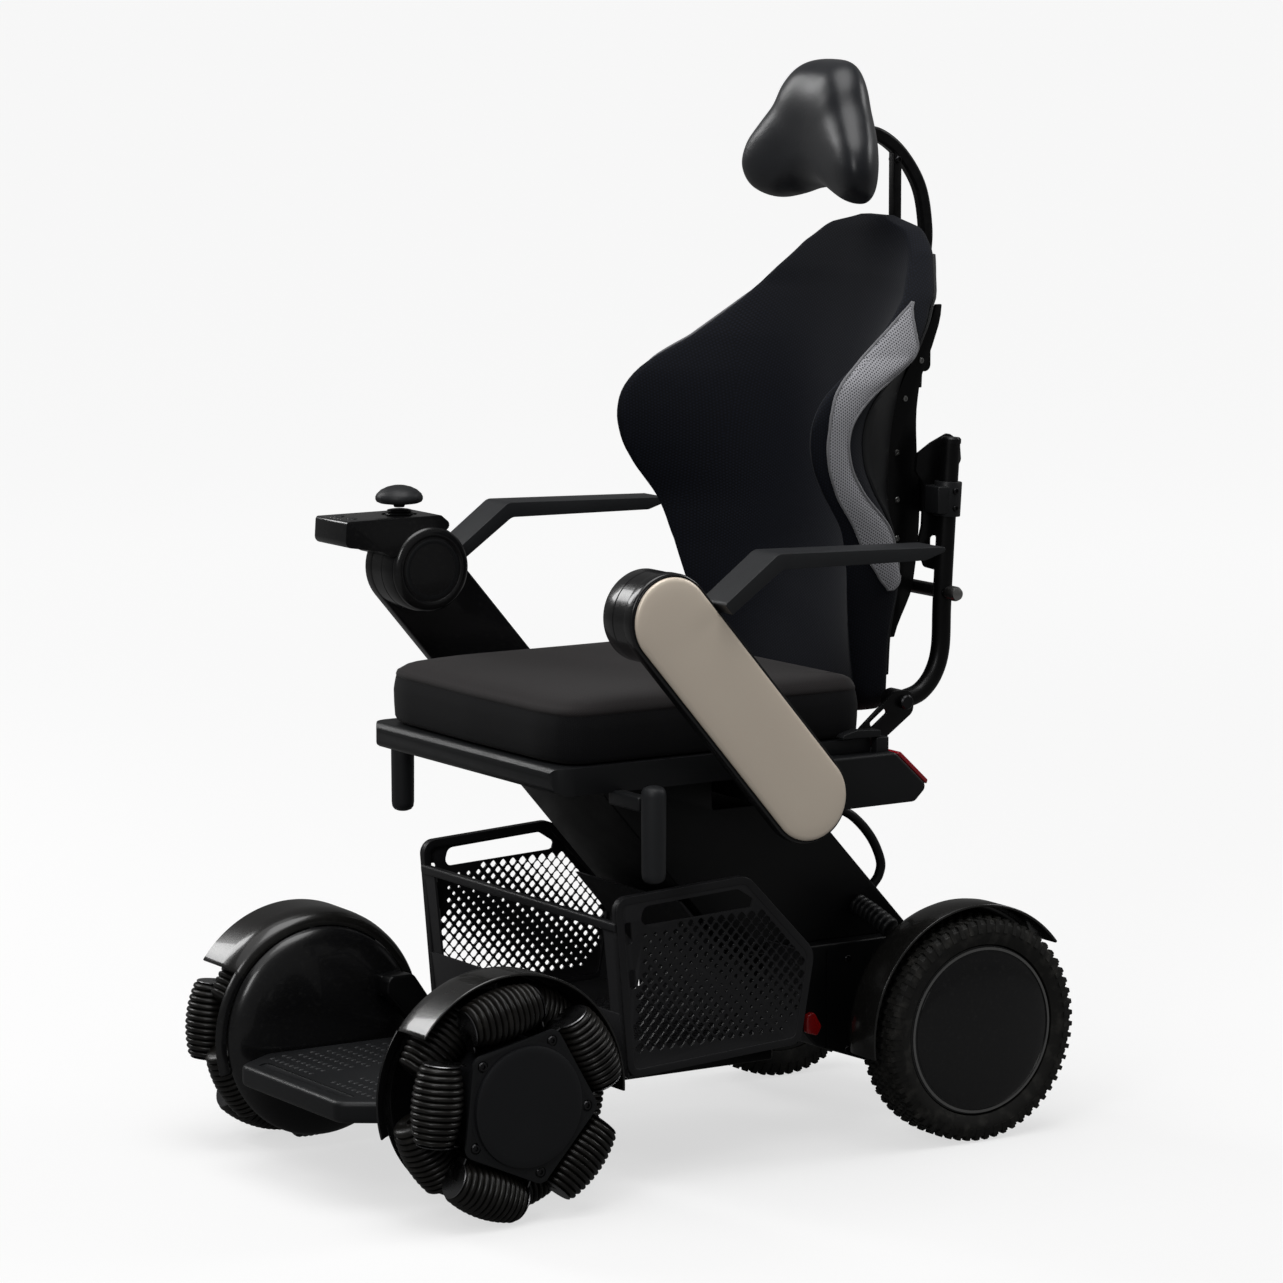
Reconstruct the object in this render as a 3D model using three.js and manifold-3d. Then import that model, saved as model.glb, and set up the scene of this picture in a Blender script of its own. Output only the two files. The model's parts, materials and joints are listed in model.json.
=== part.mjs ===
// A powered wheelchair: omni-roller front wheels, driven rear wheels, an under-seat basket, lift-up
// arms with a joystick pod, a contoured backrest on two canes and a headrest on a curved stem.
// Millimetres, +Z up. The chair faces -Y and the sitter's left is +X. The origin is on the floor,
// midway along and across the chair.
import * as THREE from 'three';
import { mergeVertices } from 'three/addons/utils/BufferGeometryUtils.js';
import Module from 'manifold-3d';

const wasm = await Module();
wasm.setup();

// ---------------------------------------------------------------- driving dimensions
const gap = 0.4;
const wheelRadius = 132.5;
const wheelbase = 647;
const frontAxle = { y: -317, z: wheelRadius };
const rearAxle = { y: frontAxle.y + wheelbase, z: wheelRadius };

const roller = { maxRadius: 29, halfLength: 37, boreRadius: 4.6, pinRadius: 3.6 };
const rollersPerRow = 5;
const rollerStep = 360 / rollersPerRow;
const outerRow = { x: 260, firstAngle: 30 };
const innerRow = { x: 209, firstAngle: 66 };
const rollerCentreRadius = wheelRadius - roller.maxRadius;

const beamHalfWidth = 105;
const housingHalfWidth = 125;
const beamSplitHeight = 232;
const basketHalfWidth = 216;
const wall = 3;

const trayHalfWidth = 208;
const trayTop = 486;
const trayBottom = 455;
const rearHousingTop = 470;
const cushion = { halfWidth: 202, front: -218, rear: 184, bottom: trayTop + 1.2, top: 562 };

const armTop = { y: -139, z: 655 };
const armPivot = { y: 44, z: 442 };
const armRadius = 52.5;
const panelRadius = 48;
const armInner = 275;
const armOuter = 292;
const drumInner = 230;

const podTop = 718;
const button = { y: -232, radius: 6, bottom: podTop - 4.5, wellRadius: 6.8, wellFloor: podTop - 6.5 };
const powerButtonX = -250;
const speedButtonX = -280;
const joystick = { x: -262, y: -161, z: 716 };
const backPivot = { y: 250, z: 519 };
const caneX = 165;
const caneRadius = 11;
const shellThickness = 5;

// ---------------------------------------------------------------- geometry helpers
const degrees = (angle) => (angle * Math.PI) / 180;

function turnInsideOut(geometry) {
  const index = geometry.index.array;
  for (let i = 0; i < index.length; i += 3) {
    [index[i], index[i + 1]] = [index[i + 1], index[i]];
  }
}

function signedVolume(geometry) {
  const { index, attributes: { position } } = geometry;
  const corner = (i) => new THREE.Vector3().fromBufferAttribute(position, index.getX(i));
  let total = 0;
  for (let i = 0; i < index.count; i += 3) {
    total += corner(i).dot(corner(i + 1).cross(corner(i + 2))) / 6;
  }
  return total;
}

// Triangles that a profile's point on its axis shrinks to a line are left out.
function withoutSlivers(index) {
  const kept = [];
  for (let i = 0; i < index.length; i += 3) {
    const [a, b, c] = index.slice(i, i + 3);
    if (a !== b && b !== c && c !== a) kept.push(a, b, c);
  }
  return kept;
}

// Only positions, with shared vertices merged and faces pointing out, whichever way round an
// outline or a profile was listed. What a boolean returns is merged already.
function closed(geometry) {
  const bare = geometry.clone();
  if (bare.userData.merged) return bare;
  bare.deleteAttribute('normal');
  bare.deleteAttribute('uv');
  const merged = mergeVertices(bare, 1e-4);
  merged.setIndex(withoutSlivers([...merged.index.array]));
  if (signedVolume(merged) < 0) turnInsideOut(merged);
  merged.userData = { merged: true };
  return merged;
}

function solid(geometry) {
  const merged = closed(geometry);
  const mesh = new wasm.Mesh({
    numProp: 3,
    vertProperties: new Float32Array(merged.attributes.position.array),
    triVerts: new Uint32Array(merged.index.array),
  });
  return new wasm.Manifold(mesh);
}

function geometryOf(manifold) {
  const mesh = manifold.getMesh();
  const target = Uint32Array.from({ length: mesh.numVert }, (_, i) => i);
  mesh.mergeFromVert.forEach((vertex, i) => {
    target[vertex] = mesh.mergeToVert[i];
  });
  const geometry = new THREE.BufferGeometry();
  geometry.setAttribute('position', new THREE.BufferAttribute(new Float32Array(mesh.vertProperties), 3));
  geometry.setIndex(new THREE.BufferAttribute(mesh.triVerts.map((vertex) => target[vertex]), 1));
  geometry.userData = { merged: true };
  return geometry;
}

const joined = (...geometries) => geometryOf(geometries.map(solid).reduce((a, b) => a.add(b)));
const without = (geometry, ...cutters) => geometryOf(
  cutters.map(solid).reduce((a, b) => a.subtract(b), solid(geometry)));
const within = (geometry, limit) => geometryOf(solid(geometry).intersect(solid(limit)));

function mirrored(geometry) {
  const copy = closed(geometry);
  copy.scale(-1, 1, 1);
  turnInsideOut(copy);
  return copy;
}

function box(x0, x1, y0, y1, z0, z1) {
  const geometry = new THREE.BoxGeometry(x1 - x0, y1 - y0, z1 - z0);
  return geometry.translate((x0 + x1) / 2, (y0 + y1) / 2, (z0 + z1) / 2);
}

// Rounds the corners of a closed outline; each corner keeps three points.
function rounded(points, radius) {
  const outline = [];
  points.forEach((point, i) => {
    const corner = new THREE.Vector2(...point);
    const before = new THREE.Vector2(...points[(i + points.length - 1) % points.length]);
    const after = new THREE.Vector2(...points[(i + 1) % points.length]);
    const reach = Math.min(radius, corner.distanceTo(before) / 2.2, corner.distanceTo(after) / 2.2);
    const start = corner.clone().lerp(before, reach / corner.distanceTo(before));
    const end = corner.clone().lerp(after, reach / corner.distanceTo(after));
    const middle = start.clone().add(end).multiplyScalar(0.25).addScaledVector(corner, 0.5);
    outline.push(start, middle, end);
  });
  return outline;
}

function extrusion(outline, depth, bevel) {
  const shape = new THREE.Shape(outline.map((p) => (Array.isArray(p) ? new THREE.Vector2(...p) : p)));
  const geometry = new THREE.ExtrudeGeometry(shape, {
    depth: depth - 2 * bevel,
    steps: 1,
    curveSegments: 8,
    bevelEnabled: bevel > 0,
    bevelThickness: bevel,
    bevelSize: bevel,
    bevelOffset: -bevel,
    bevelSegments: 1,
  });
  return geometry.translate(0, 0, bevel);
}

// An outline in the side view, as [y, z] points, carried across the chair from x0 to x1.
function acrossX(outline, x0, x1, bevel = 0) {
  const basis = new THREE.Matrix4().makeBasis(
    new THREE.Vector3(0, 1, 0), new THREE.Vector3(0, 0, 1), new THREE.Vector3(1, 0, 0));
  return extrusion(outline, x1 - x0, bevel).applyMatrix4(basis).translate(x0, 0, 0);
}

// An outline in plan, as [x, y] points, raised from z0 to z1.
const upwards = (outline, z0, z1, bevel = 0) => extrusion(outline, z1 - z0, bevel).translate(0, 0, z0);

// A profile of [radius, x] points turned round an axle that runs along X.
function turnedOnX(profile, axle, segments) {
  const points = profile.map(([radius, x]) => new THREE.Vector2(radius, x));
  const basis = new THREE.Matrix4().makeBasis(
    new THREE.Vector3(0, 1, 0), new THREE.Vector3(1, 0, 0), new THREE.Vector3(0, 0, -1));
  return new THREE.LatheGeometry(points, segments).applyMatrix4(basis).translate(0, axle.y, axle.z);
}

// A profile of [radius, z] points turned round an upright axis.
function turnedOnZ(profile, x, y, segments) {
  const points = profile.map(([radius, z]) => new THREE.Vector2(radius, z));
  return new THREE.LatheGeometry(points, segments).rotateX(Math.PI / 2).translate(x, y, 0);
}

const rodX = (radius, x0, x1, at, sides) => turnedOnX(
  [[0, x0], [radius, x0], [radius, x1], [0, x1]], at, sides);

function tube(points, radius, sides, steps) {
  const knots = points.map((p) => new THREE.Vector3(...p));
  const curve = new THREE.CatmullRomCurve3(knots, false, 'centripetal');
  const ring = new THREE.Shape();
  for (let i = 0; i < sides; i += 1) {
    const angle = (i / sides) * 2 * Math.PI;
    const point = [radius * Math.cos(angle), radius * Math.sin(angle)];
    if (i === 0) ring.moveTo(...point);
    else ring.lineTo(...point);
  }
  return new THREE.ExtrudeGeometry(ring, { steps, extrudePath: curve, bevelEnabled: false });
}

// A pie slice round an axle, from one angle to another, counted from the front over the top.
function slice(axle, from, to, x0, x1) {
  const reach = 220;
  const outline = [[axle.y, axle.z]];
  const steps = Math.ceil((to - from) / 30);
  for (let i = 0; i <= steps; i += 1) {
    const angle = degrees(from + ((to - from) * i) / steps);
    outline.push([axle.y - reach * Math.cos(angle), axle.z + reach * Math.sin(angle)]);
  }
  return acrossX(outline.reverse(), x0, x1);
}

// Smooth interpolation through [position, value] pairs.
function blendTable(pairs) {
  return (position) => {
    const last = pairs.length - 1;
    if (position <= pairs[0][0]) return pairs[0][1];
    if (position >= pairs[last][0]) return pairs[last][1];
    const i = pairs.findIndex((pair) => pair[0] > position) - 1;
    const at = (k) => pairs[Math.min(Math.max(k, 0), last)][1];
    const t = (position - pairs[i][0]) / (pairs[i + 1][0] - pairs[i][0]);
    const [a, b, c, d] = [at(i - 1), at(i), at(i + 1), at(i + 2)];
    return b + 0.5 * t * (c - a + t * (2 * a - 5 * b + 4 * c - d + t * (3 * (b - c) + d - a)));
  };
}

// A closed body between a front sheet and a back sheet, each a function of u (-1..1) and v (0..1).
function betweenSheets(front, back, columns, rows) {
  const positions = [];
  const index = [];
  const row = columns + 1;
  const count = row * (rows + 1);
  for (const sheet of [front, back]) {
    for (let j = 0; j <= rows; j += 1) {
      for (let i = 0; i <= columns; i += 1) {
        positions.push(...sheet((2 * i) / columns - 1, j / rows));
      }
    }
  }
  const quad = (a, b, c, d) => index.push(a, b, c, a, c, d);
  for (let j = 0; j < rows; j += 1) {
    for (let i = 0; i < columns; i += 1) {
      const a = j * row + i;
      quad(a, a + 1, a + row + 1, a + row);
      quad(count + a, count + a + row, count + a + row + 1, count + a + 1);
    }
  }
  for (let i = 0; i < columns; i += 1) {
    const top = rows * row + i;
    quad(i + 1, i, count + i, count + i + 1);
    quad(top, top + 1, count + top + 1, count + top);
  }
  for (let j = 0; j < rows; j += 1) {
    const left = j * row;
    const right = left + columns;
    quad(left, left + row, count + left + row, count + left);
    quad(right + row, right, count + right, count + right + row);
  }
  const geometry = new THREE.BufferGeometry();
  geometry.setAttribute('position', new THREE.BufferAttribute(new Float32Array(positions), 3));
  geometry.setIndex(index);
  return geometry;
}

// ---------------------------------------------------------------- the assembly and its finishes
const chair = new THREE.Group();

const finishes = {
  satinBlack: { color: 0x1b1c1e, roughness: 0.5, metalness: 0.1 },
  glossBlack: { color: 0x0b0b0c, roughness: 0.18, metalness: 0.1 },
  rubber: { color: 0x1a1917, roughness: 0.75, metalness: 0 },
  basketGrey: { color: 0x2d2d30, roughness: 0.55, metalness: 0 },
  padGrey: { color: 0x3c3d40, roughness: 0.6, metalness: 0 },
  champagne: { color: 0xa5988a, roughness: 0.35, metalness: 0.4 },
  seatFabric: { color: 0x2e2b2c, roughness: 0.9, metalness: 0 },
  backMesh: { color: 0x0d0f17, roughness: 0.85, metalness: 0 },
  headVinyl: { color: 0x101216, roughness: 0.4, metalness: 0 },
  blackMetal: { color: 0x131314, roughness: 0.35, metalness: 0.6 },
  redPlastic: { color: 0xa01018, roughness: 0.3, metalness: 0 },
};

function addPart(name, geometry, finish) {
  const mesh = new THREE.Mesh(closed(geometry), new THREE.MeshStandardMaterial(finishes[finish]));
  mesh.name = name;
  chair.add(mesh);
  return mesh;
}

function addPair(name, leftGeometry, finish) {
  addPart(`${name}_left`, leftGeometry, finish);
  addPart(`${name}_right`, mirrored(leftGeometry), finish);
}

// ---------------------------------------------------------------- front wheels
const rowAngles = (row) => Array.from(
  { length: rollersPerRow }, (_, i) => degrees(row.firstAngle + i * rollerStep));

function rollerProfile(bore) {
  const profile = [];
  const stations = 4;
  for (let i = 0; i <= stations; i += 1) {
    const along = -roller.halfLength + (2 * roller.halfLength * i) / stations;
    profile.push([Math.sqrt(wheelRadius ** 2 - along ** 2) - rollerCentreRadius, along]);
  }
  const first = [bore, -roller.halfLength];
  return [first, ...profile, [bore, roller.halfLength], ...(bore > 0 ? [first] : [])];
}

function rollerGeometry(bore) {
  return new THREE.LatheGeometry(rollerProfile(bore).map((p) => new THREE.Vector2(...p)), 10);
}

// Where a roller's centre is, seen from the side, and how far it is turned to lie along the rim.
const rollerCentre = (angle) => [
  frontAxle.y + rollerCentreRadius * Math.cos(angle), frontAxle.z + rollerCentreRadius * Math.sin(angle)];
const rollerTurn = (angle) => angle + Math.PI / 2;

const placeOnWheel = (geometry, x, angle) => geometry
  .rotateX(rollerTurn(angle))
  .translate(x, ...rollerCentre(angle));

// Two fork arms and the pin between them, in the roller's own frame: the roller turns on local Y.
function rollerFork() {
  const armInside = roller.halfLength + 1;
  const armOutside = armInside + 3;
  const foot = rollerCentreRadius - 50;
  const pin = new THREE.CylinderGeometry(roller.pinRadius, roller.pinRadius, 2 * armInside + 2, 8);
  const arms = [1, -1].map((end) => {
    const [from, to] = end > 0 ? [armInside, armOutside] : [-armOutside, -armInside];
    return box(-7, 7, from, to, -8, foot);
  });
  return [pin, ...arms];
}

function frontHub() {
  const drum = turnedOnX(
    [[0, 286], [58, 285.6], [66.8, 283.5], [66.8, 281.5], [72, 281.5], [72, 196], [60, 190], [9.6, 190],
      [9.6, 264], [0, 264]], frontAxle, 24);
  const plateReach = 88;
  const corners = rowAngles(innerRow).map((angle) => [
    frontAxle.y + plateReach * Math.cos(angle), frontAxle.z + plateReach * Math.sin(angle)]);
  const plate = acrossX(rounded(corners, 12), 280.5, 283.4);
  const forks = rowAngles(outerRow).flatMap(
    (angle) => rollerFork().map((part) => placeOnWheel(part, outerRow.x, angle)));
  return joined(drum, plate, ...forks);
}

function innerRollers() {
  const ring = turnedOnX([[74.5, 203], [83, 203], [83, 217], [74.5, 217], [74.5, 203]], frontAxle, 20);
  return joined(ring, ...rowAngles(innerRow).map((a) => placeOnWheel(rollerGeometry(0), innerRow.x, a)));
}

function addOuterRollers() {
  for (const [side, name] of [[1, 'left'], [-1, 'right']]) {
    rowAngles(outerRow).forEach((angle, i) => {
      const mesh = addPart(`roller_${name}_${i + 1}`, rollerGeometry(roller.boreRadius), 'rubber');
      mesh.rotation.x = rollerTurn(angle);
      mesh.position.set(side * outerRow.x, ...rollerCentre(angle));
    });
  }
}

// ---------------------------------------------------------------- front covers and frame
const frontDome = { rimX: 181, apexX: 154, radius: 123 };

function frontFender() {
  const profile = [[147, 272], [147, 206], [144, 194], [138, 185], [126.5, 180.6], [123.8, 180.6],
    [123.8, 184], [127, 184], [135.5, 188], [140.7, 195.5], [143.4, 207], [143.4, 272], [147, 272]];
  const ring = turnedOnX(profile, frontAxle, 32);
  const flange = within(ring, slice(frontAxle, -25, 200, 170, 208));
  const tread = within(ring, slice(frontAxle, 36, 190, 170, 280));
  return joined(flange, tread);
}

function domeX(radius) {
  const share = Math.min(radius / frontDome.radius, 1);
  return frontDome.apexX + (frontDome.rimX - frontDome.apexX) * (1 - Math.sqrt(1 - share ** 2.4));
}

// The opening in the dome for the link arm, seen from the side.
const linkWindow = { y0: -264, y1: -214, z0: 164, z1: 204 };

function wheelCover() {
  const radii = [0, 50, 88, 109, 117];
  const outside = radii.map((r) => [r, domeX(r)]);
  const inside = radii.slice(0, -1).reverse().map((r) => [r, domeX(r) + wall]);
  const rim = [[frontDome.radius, frontDome.rimX], [frontDome.radius - wall, frontDome.rimX]];
  const shell = turnedOnX([...outside, ...rim, ...inside], frontAxle, 24);
  const window = box(140, 190, linkWindow.y0, linkWindow.y1, linkWindow.z0, linkWindow.z1);
  return without(shell, window);
}

function frontFrame() {
  const crossTube = acrossX(rounded([[-222, 100], [-222, 138], [-184, 142], [-178, 100]], 8), -148, 148);
  const spine = box(-50, 50, -190, 160, 84, 112);
  const tongue = box(-60, 60, -350, -180, 84, 97.4);
  const linkOutline = [[-184, 112], [-186, 146], [-222, 198], [-256, 198], [-258, 178], [-222, 138]];
  const link = acrossX(rounded(linkOutline, 7), 128, 150);
  const neck = box(146, 172, -256, -222, 172, 196);
  const knuckleOutline = [[-226, 196], [-256, 196], [-346, 146], [-346, 112], [-300, 104], [-226, 168]];
  const knuckle = acrossX(rounded(knuckleOutline, 10), 169, 177);
  const axleStub = rodX(8, 172, 262, frontAxle, 16);
  const arm = joined(link, neck, knuckle, axleStub);
  return joined(crossTube, spine, tongue, arm, mirrored(arm));
}

function footplate() {
  const outline = [[-148, -226], [-148, -408], [-112, -461], [112, -461], [148, -408], [148, -226]];
  return upwards(rounded(outline.reverse(), 12), 98, 124, 3);
}

// ---------------------------------------------------------------- rear wheels and drive
function rearTyre() {
  const profile = [[100, 174], [118, 171], [128, 176], [wheelRadius, 187], [wheelRadius, 220],
    [128, 231], [118, 236], [100, 231], [100, 174]];
  return turnedOnX(profile, rearAxle, 30);
}

function rearRim() {
  const profile = [[0, 238], [55, 236.5], [85, 232.5], [99.4, 229], [99.4, 176], [13, 176],
    [13, 201], [0, 201]];
  return turnedOnX(profile, rearAxle, 30);
}

function driveMotor() {
  const inner = housingHalfWidth + gap;
  const profile = [[0, inner], [62, inner], [62, 150], [54, 158], [11.5, 158], [11.5, 199.5], [0, 199.5]];
  return turnedOnX(profile, rearAxle, 20);
}

function rearFender() {
  const profile = [[147, 222], [147, 178], [143.5, 168], [136, 161.5], [124, 160], [120, 160], [120, 163.5],
    [124, 163.5], [134.5, 165], [140.5, 170.5], [143.5, 179], [143.5, 222], [147, 222]];
  return within(turnedOnX(profile, rearAxle, 36), slice(rearAxle, -8, 142, 150, 230));
}

function motorCable() {
  const route = [[95, 237, 275], [130, 245, 262], [170, 254, 243]];
  const face = beamHalfWidth + gap;
  return within(tube(route, 13, 10, 6), box(face, 160 - gap, 200, 300, 200, 320));
}

function brakeLever() {
  const blade = rounded([[150, 128], [170, 122], [178, 140], [160, 168], [148, 160]], 6);
  return acrossX(blade, housingHalfWidth + gap, housingHalfWidth + 9, 1.5);
}

// ---------------------------------------------------------------- body
// The beam leans forward at a constant slope: how far the front and rear faces are at a height.
const beamFrontAt = (z) => -114 + (438 - z) * 0.87;
const beamRearAt = (z) => 220 + (341 - z) * 0.908;

function mainBeam() {
  const bottom = beamSplitHeight + gap;
  const outline = [[beamFrontAt(446), 446], [beamFrontAt(bottom), bottom], [beamRearAt(bottom), bottom],
    [beamRearAt(402), 402], [38, 402], [38, 446]];
  return acrossX(rounded(outline, 20), -beamHalfWidth, beamHalfWidth, 5);
}

function baseHousing() {
  const outline = [[beamFrontAt(beamSplitHeight), beamSplitHeight], [beamFrontAt(113), 113],
    [262, 80], [335, 74], [395, 90], [404, 150], [386, 205],
    [beamRearAt(beamSplitHeight), beamSplitHeight]];
  return acrossX(rounded(outline, 20), -housingHalfWidth, housingHalfWidth, 5);
}

function battery() {
  const outline = [[404.6, 96], [434, 100], [440, 120], [436, 190], [404.6, 198]];
  return acrossX(rounded(outline, 8), -88, 88, 2);
}

// ---------------------------------------------------------------- basket
function basket() {
  const panel = [[-164, 336], [-146, 130], [86, 143], [105, 249], [13, 345]];
  const handleHole = [[-132, 302], [-126, 324], [0, 331], [34, 309]];
  const innerFace = basketHalfWidth - wall;
  const side = without(
    acrossX(rounded(panel, 12), innerFace, basketHalfWidth), acrossX(rounded(handleHole, 7), 200, 230));
  const tub = [[-160, 305], [-145, 130], [84, 143.4], [80, 200], [-8, 300], [-12, 300], [74, 200],
    [78, 146.5], [-141.6, 133.2], [-156.6, 305]];
  const walls = acrossX(tub, -innerFace - 1, innerFace + 1);
  const frontHole = box(-196, 196, -180, -120, 203, 296);
  return joined(side, mirrored(side), without(walls, frontHole));
}

// ---------------------------------------------------------------- seat
function seatTray() {
  const front = -236;
  const side = [[front, 478], [-231, 460], [-222, trayBottom], [58, trayBottom],
    [58, rearHousingTop + gap], [186, rearHousingTop + gap], [186, trayTop], [-228, trayTop]];
  const plan = [[-trayHalfWidth, 190], [-trayHalfWidth, front], [trayHalfWidth, front],
    [trayHalfWidth, 190]];
  const plate = within(
    acrossX(side, -trayHalfWidth, trayHalfWidth), upwards(rounded(plan.reverse(), 24), 440, 500));
  const rail = box(70, 95, -105, 34, 446.6, 456);
  const armLug = rodX(24, 200, armInner - gap, armPivot, 20);
  const postArm = box(198, 260.6, -162, -146, 440, 457);
  const left = [rail, armLug, postArm];
  return joined(plate, ...left, ...left.map(mirrored));
}

function seatCushion() {
  const { halfWidth, front, rear } = cushion;
  const outline = [[-halfWidth, rear], [-halfWidth, front + 22], [-150, front + 4], [0, front],
    [150, front + 4], [halfWidth, front + 22], [halfWidth, rear]];
  return upwards(rounded(outline.reverse(), 36), cushion.bottom, cushion.top, 10);
}

// The rear face of the seat box slopes between these two points; the lamp lies on it.
const lampTop = { y: 208, z: rearHousingTop };
const lampBottom = { y: 254, z: 427 };

function rearHousing() {
  const outline = [[74, 409], [236, 410], [lampBottom.y, lampBottom.z], [lampTop.y, lampTop.z],
    [74, rearHousingTop]];
  const body = acrossX(rounded(outline, 5), -228, 228, 3);
  const earOutline = [[187, 466], [206, 466], [264, 506], [264, 532], [238, 532], [188, 492]];
  const ear = acrossX(rounded(earOutline, 6), 178, 183);
  const pin = rodX(5, 155, 180, backPivot, 8);
  const leverPost = box(206, 218, 188, 205, 466, 487.4);
  return joined(body, joined(ear, pin), mirrored(joined(ear, pin)), leverPost);
}

function rearLamp() {
  const along = new THREE.Vector2(lampBottom.y - lampTop.y, lampBottom.z - lampTop.z).normalize();
  const out = new THREE.Vector2(-along.y, along.x);
  const corner = (point, forward, lift) => [
    point.y + along.x * forward + out.x * lift, point.z + along.y * forward + out.y * lift];
  const proud = 5.5;
  const outline = [corner(lampTop, 3, gap), corner(lampBottom, -1, gap), corner(lampBottom, -3, proud),
    corner(lampTop, 5, proud)];
  return acrossX(outline, -226, 226);
}

function releaseLever() {
  const outline = [[139, 489], [157, 489], [192, 488], [194.4, 496], [161, 498], [143, 494]];
  return acrossX(rounded(outline, 3), 205, 219);
}

function sidePost() {
  const profile = [[0, 362], [9, 362], [12.5, 367], [13.6, 380], [14, 462], [11, 470], [0, 471]];
  return turnedOnZ(profile, 275, -151, 12);
}

// ---------------------------------------------------------------- arms
function stadium(top, bottom, radius) {
  const lean = Math.atan2(top.z - bottom.z, top.y - bottom.y);
  const outline = [];
  for (const [centre, start] of [[top, lean - Math.PI / 2], [bottom, lean + Math.PI / 2]]) {
    for (let i = 0; i <= 10; i += 1) {
      const angle = start + (i / 10) * Math.PI;
      outline.push([centre.y + radius * Math.cos(angle), centre.z + radius * Math.sin(angle)]);
    }
  }
  return outline;
}

function armHousing() {
  const body = acrossX(stadium(armTop, armPivot, armRadius), armInner, armOuter, 2);
  const drum = rodX(armRadius - 1, drumInner, armInner + 8, armTop, 24);
  return joined(body, drum);
}

function armPanel() {
  return acrossX(stadium(armTop, armPivot, panelRadius), armOuter + gap, 297.4, 1.2);
}

function armPad() {
  const outline = [[-84, 656], [-80, 672], [-11, 722], [230, 714], [187, 701], [-6, 704], [-76, 656]];
  const pad = acrossX(outline.reverse(), 262, 312, 4);
  return without(pad, acrossX(stadium(armTop, armPivot, armRadius + 1), 250, 330));
}

// ---------------------------------------------------------------- controller
function buttonWell(x) {
  const { y, wellRadius, wellFloor } = button;
  const open = podTop + 12;
  return turnedOnZ([[0, wellFloor], [wellRadius, wellFloor], [wellRadius, open], [0, open]], x, y, 14);
}

function podButton(x) {
  const { y, radius, bottom } = button;
  const top = podTop + 1.4;
  const profile = [[0, bottom], [radius, bottom], [radius, top - 0.8], [radius - 1, top], [0, top]];
  return turnedOnZ(profile, x, y, 14);
}

function controllerPod() {
  const side = [[-254, 688], [-252, podTop], [-125, podTop], [-108, 704], [-150, 688], [-190, 672],
    [-205, 680]];
  const block = acrossX(rounded(side, 8), -300, -226, 2);
  const disc = rodX(50, -229.6, -222, armTop, 24);
  const bootWell = turnedOnZ([[0, 702], [21, 702], [21, 740], [0, 740]], joystick.x, joystick.y, 20);
  const buttonWells = [powerButtonX, speedButtonX].map(buttonWell);
  const armSpace = rodX(armRadius + 1, -320, -drumInner + gap, armTop, 24);
  return joined(without(block, armSpace, bootWell, ...buttonWells), disc);
}

function joystickBoot() {
  const profile = [[0, 713.5], [14, 713.5], [14, 721], [11, 724.4], [0, 724.4]];
  return turnedOnZ(profile, joystick.x, joystick.y, 16);
}

function joystickKnob() {
  const profile = [[0, 726.4], [6, 726.4], [6, 730], [22, 730.5], [28, 735], [27.5, 742], [21, 749],
    [10, 752], [0, 752.5]];
  return turnedOnZ(profile, joystick.x, joystick.y, 18);
}

// ---------------------------------------------------------------- backrest
const back = {
  bottom: 505,
  top: 1066,
  halfWidth: blendTable([[505, 150], [600, 166], [700, 188], [800, 200], [860, 200], [917, 176], [980, 150],
    [1030, 114], [1055, 80], [1066, 44]]),
  centre: blendTable([[505, 214], [600, 224], [700, 239], [800, 259], [900, 281], [1000, 307],
    [1066, 324]]),
  thickness: blendTable([[505, 40], [560, 45], [950, 45], [1066, 26]]),
  wing: blendTable([[505, 4], [600, 41], [675, 71], [725, 94], [780, 137], [820, 158], [850, 161],
    [872, 151], [890, 128], [917, 81], [950, 50], [980, 28], [1030, 8], [1066, 0]]),
};

// The cushion's sheets have this many columns and rows. The shell behind it leaves some of them
// off all round, and keeps the rest, so that the two lie face to face.
const backGrid = { columns: 10, rows: 14 };

function backSheet(pads, offset, trim) {
  const share = 1 - (2 * trim) / backGrid.columns;
  return (u, v) => {
    const row = trim + v * (backGrid.rows - 2 * trim);
    const z = back.bottom + ((back.top - back.bottom) * row) / backGrid.rows;
    const lean = Math.abs(u * share);
    const y = back.centre(z) - back.wing(z) * lean ** 2.6 + pads * back.thickness(z) + offset;
    return [u * share * back.halfWidth(z), y, z];
  };
}

function betweenBackSheets(front, rear, trim) {
  return betweenSheets(front, rear, backGrid.columns - 2 * trim, backGrid.rows - 2 * trim);
}

function backCushion() {
  return betweenBackSheets(backSheet(0, 0, 0), backSheet(1, 0, 0), 0);
}

function backShell() {
  return betweenBackSheets(backSheet(1, 1, 1), backSheet(1, 1 + shellThickness, 1), 1);
}

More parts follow.
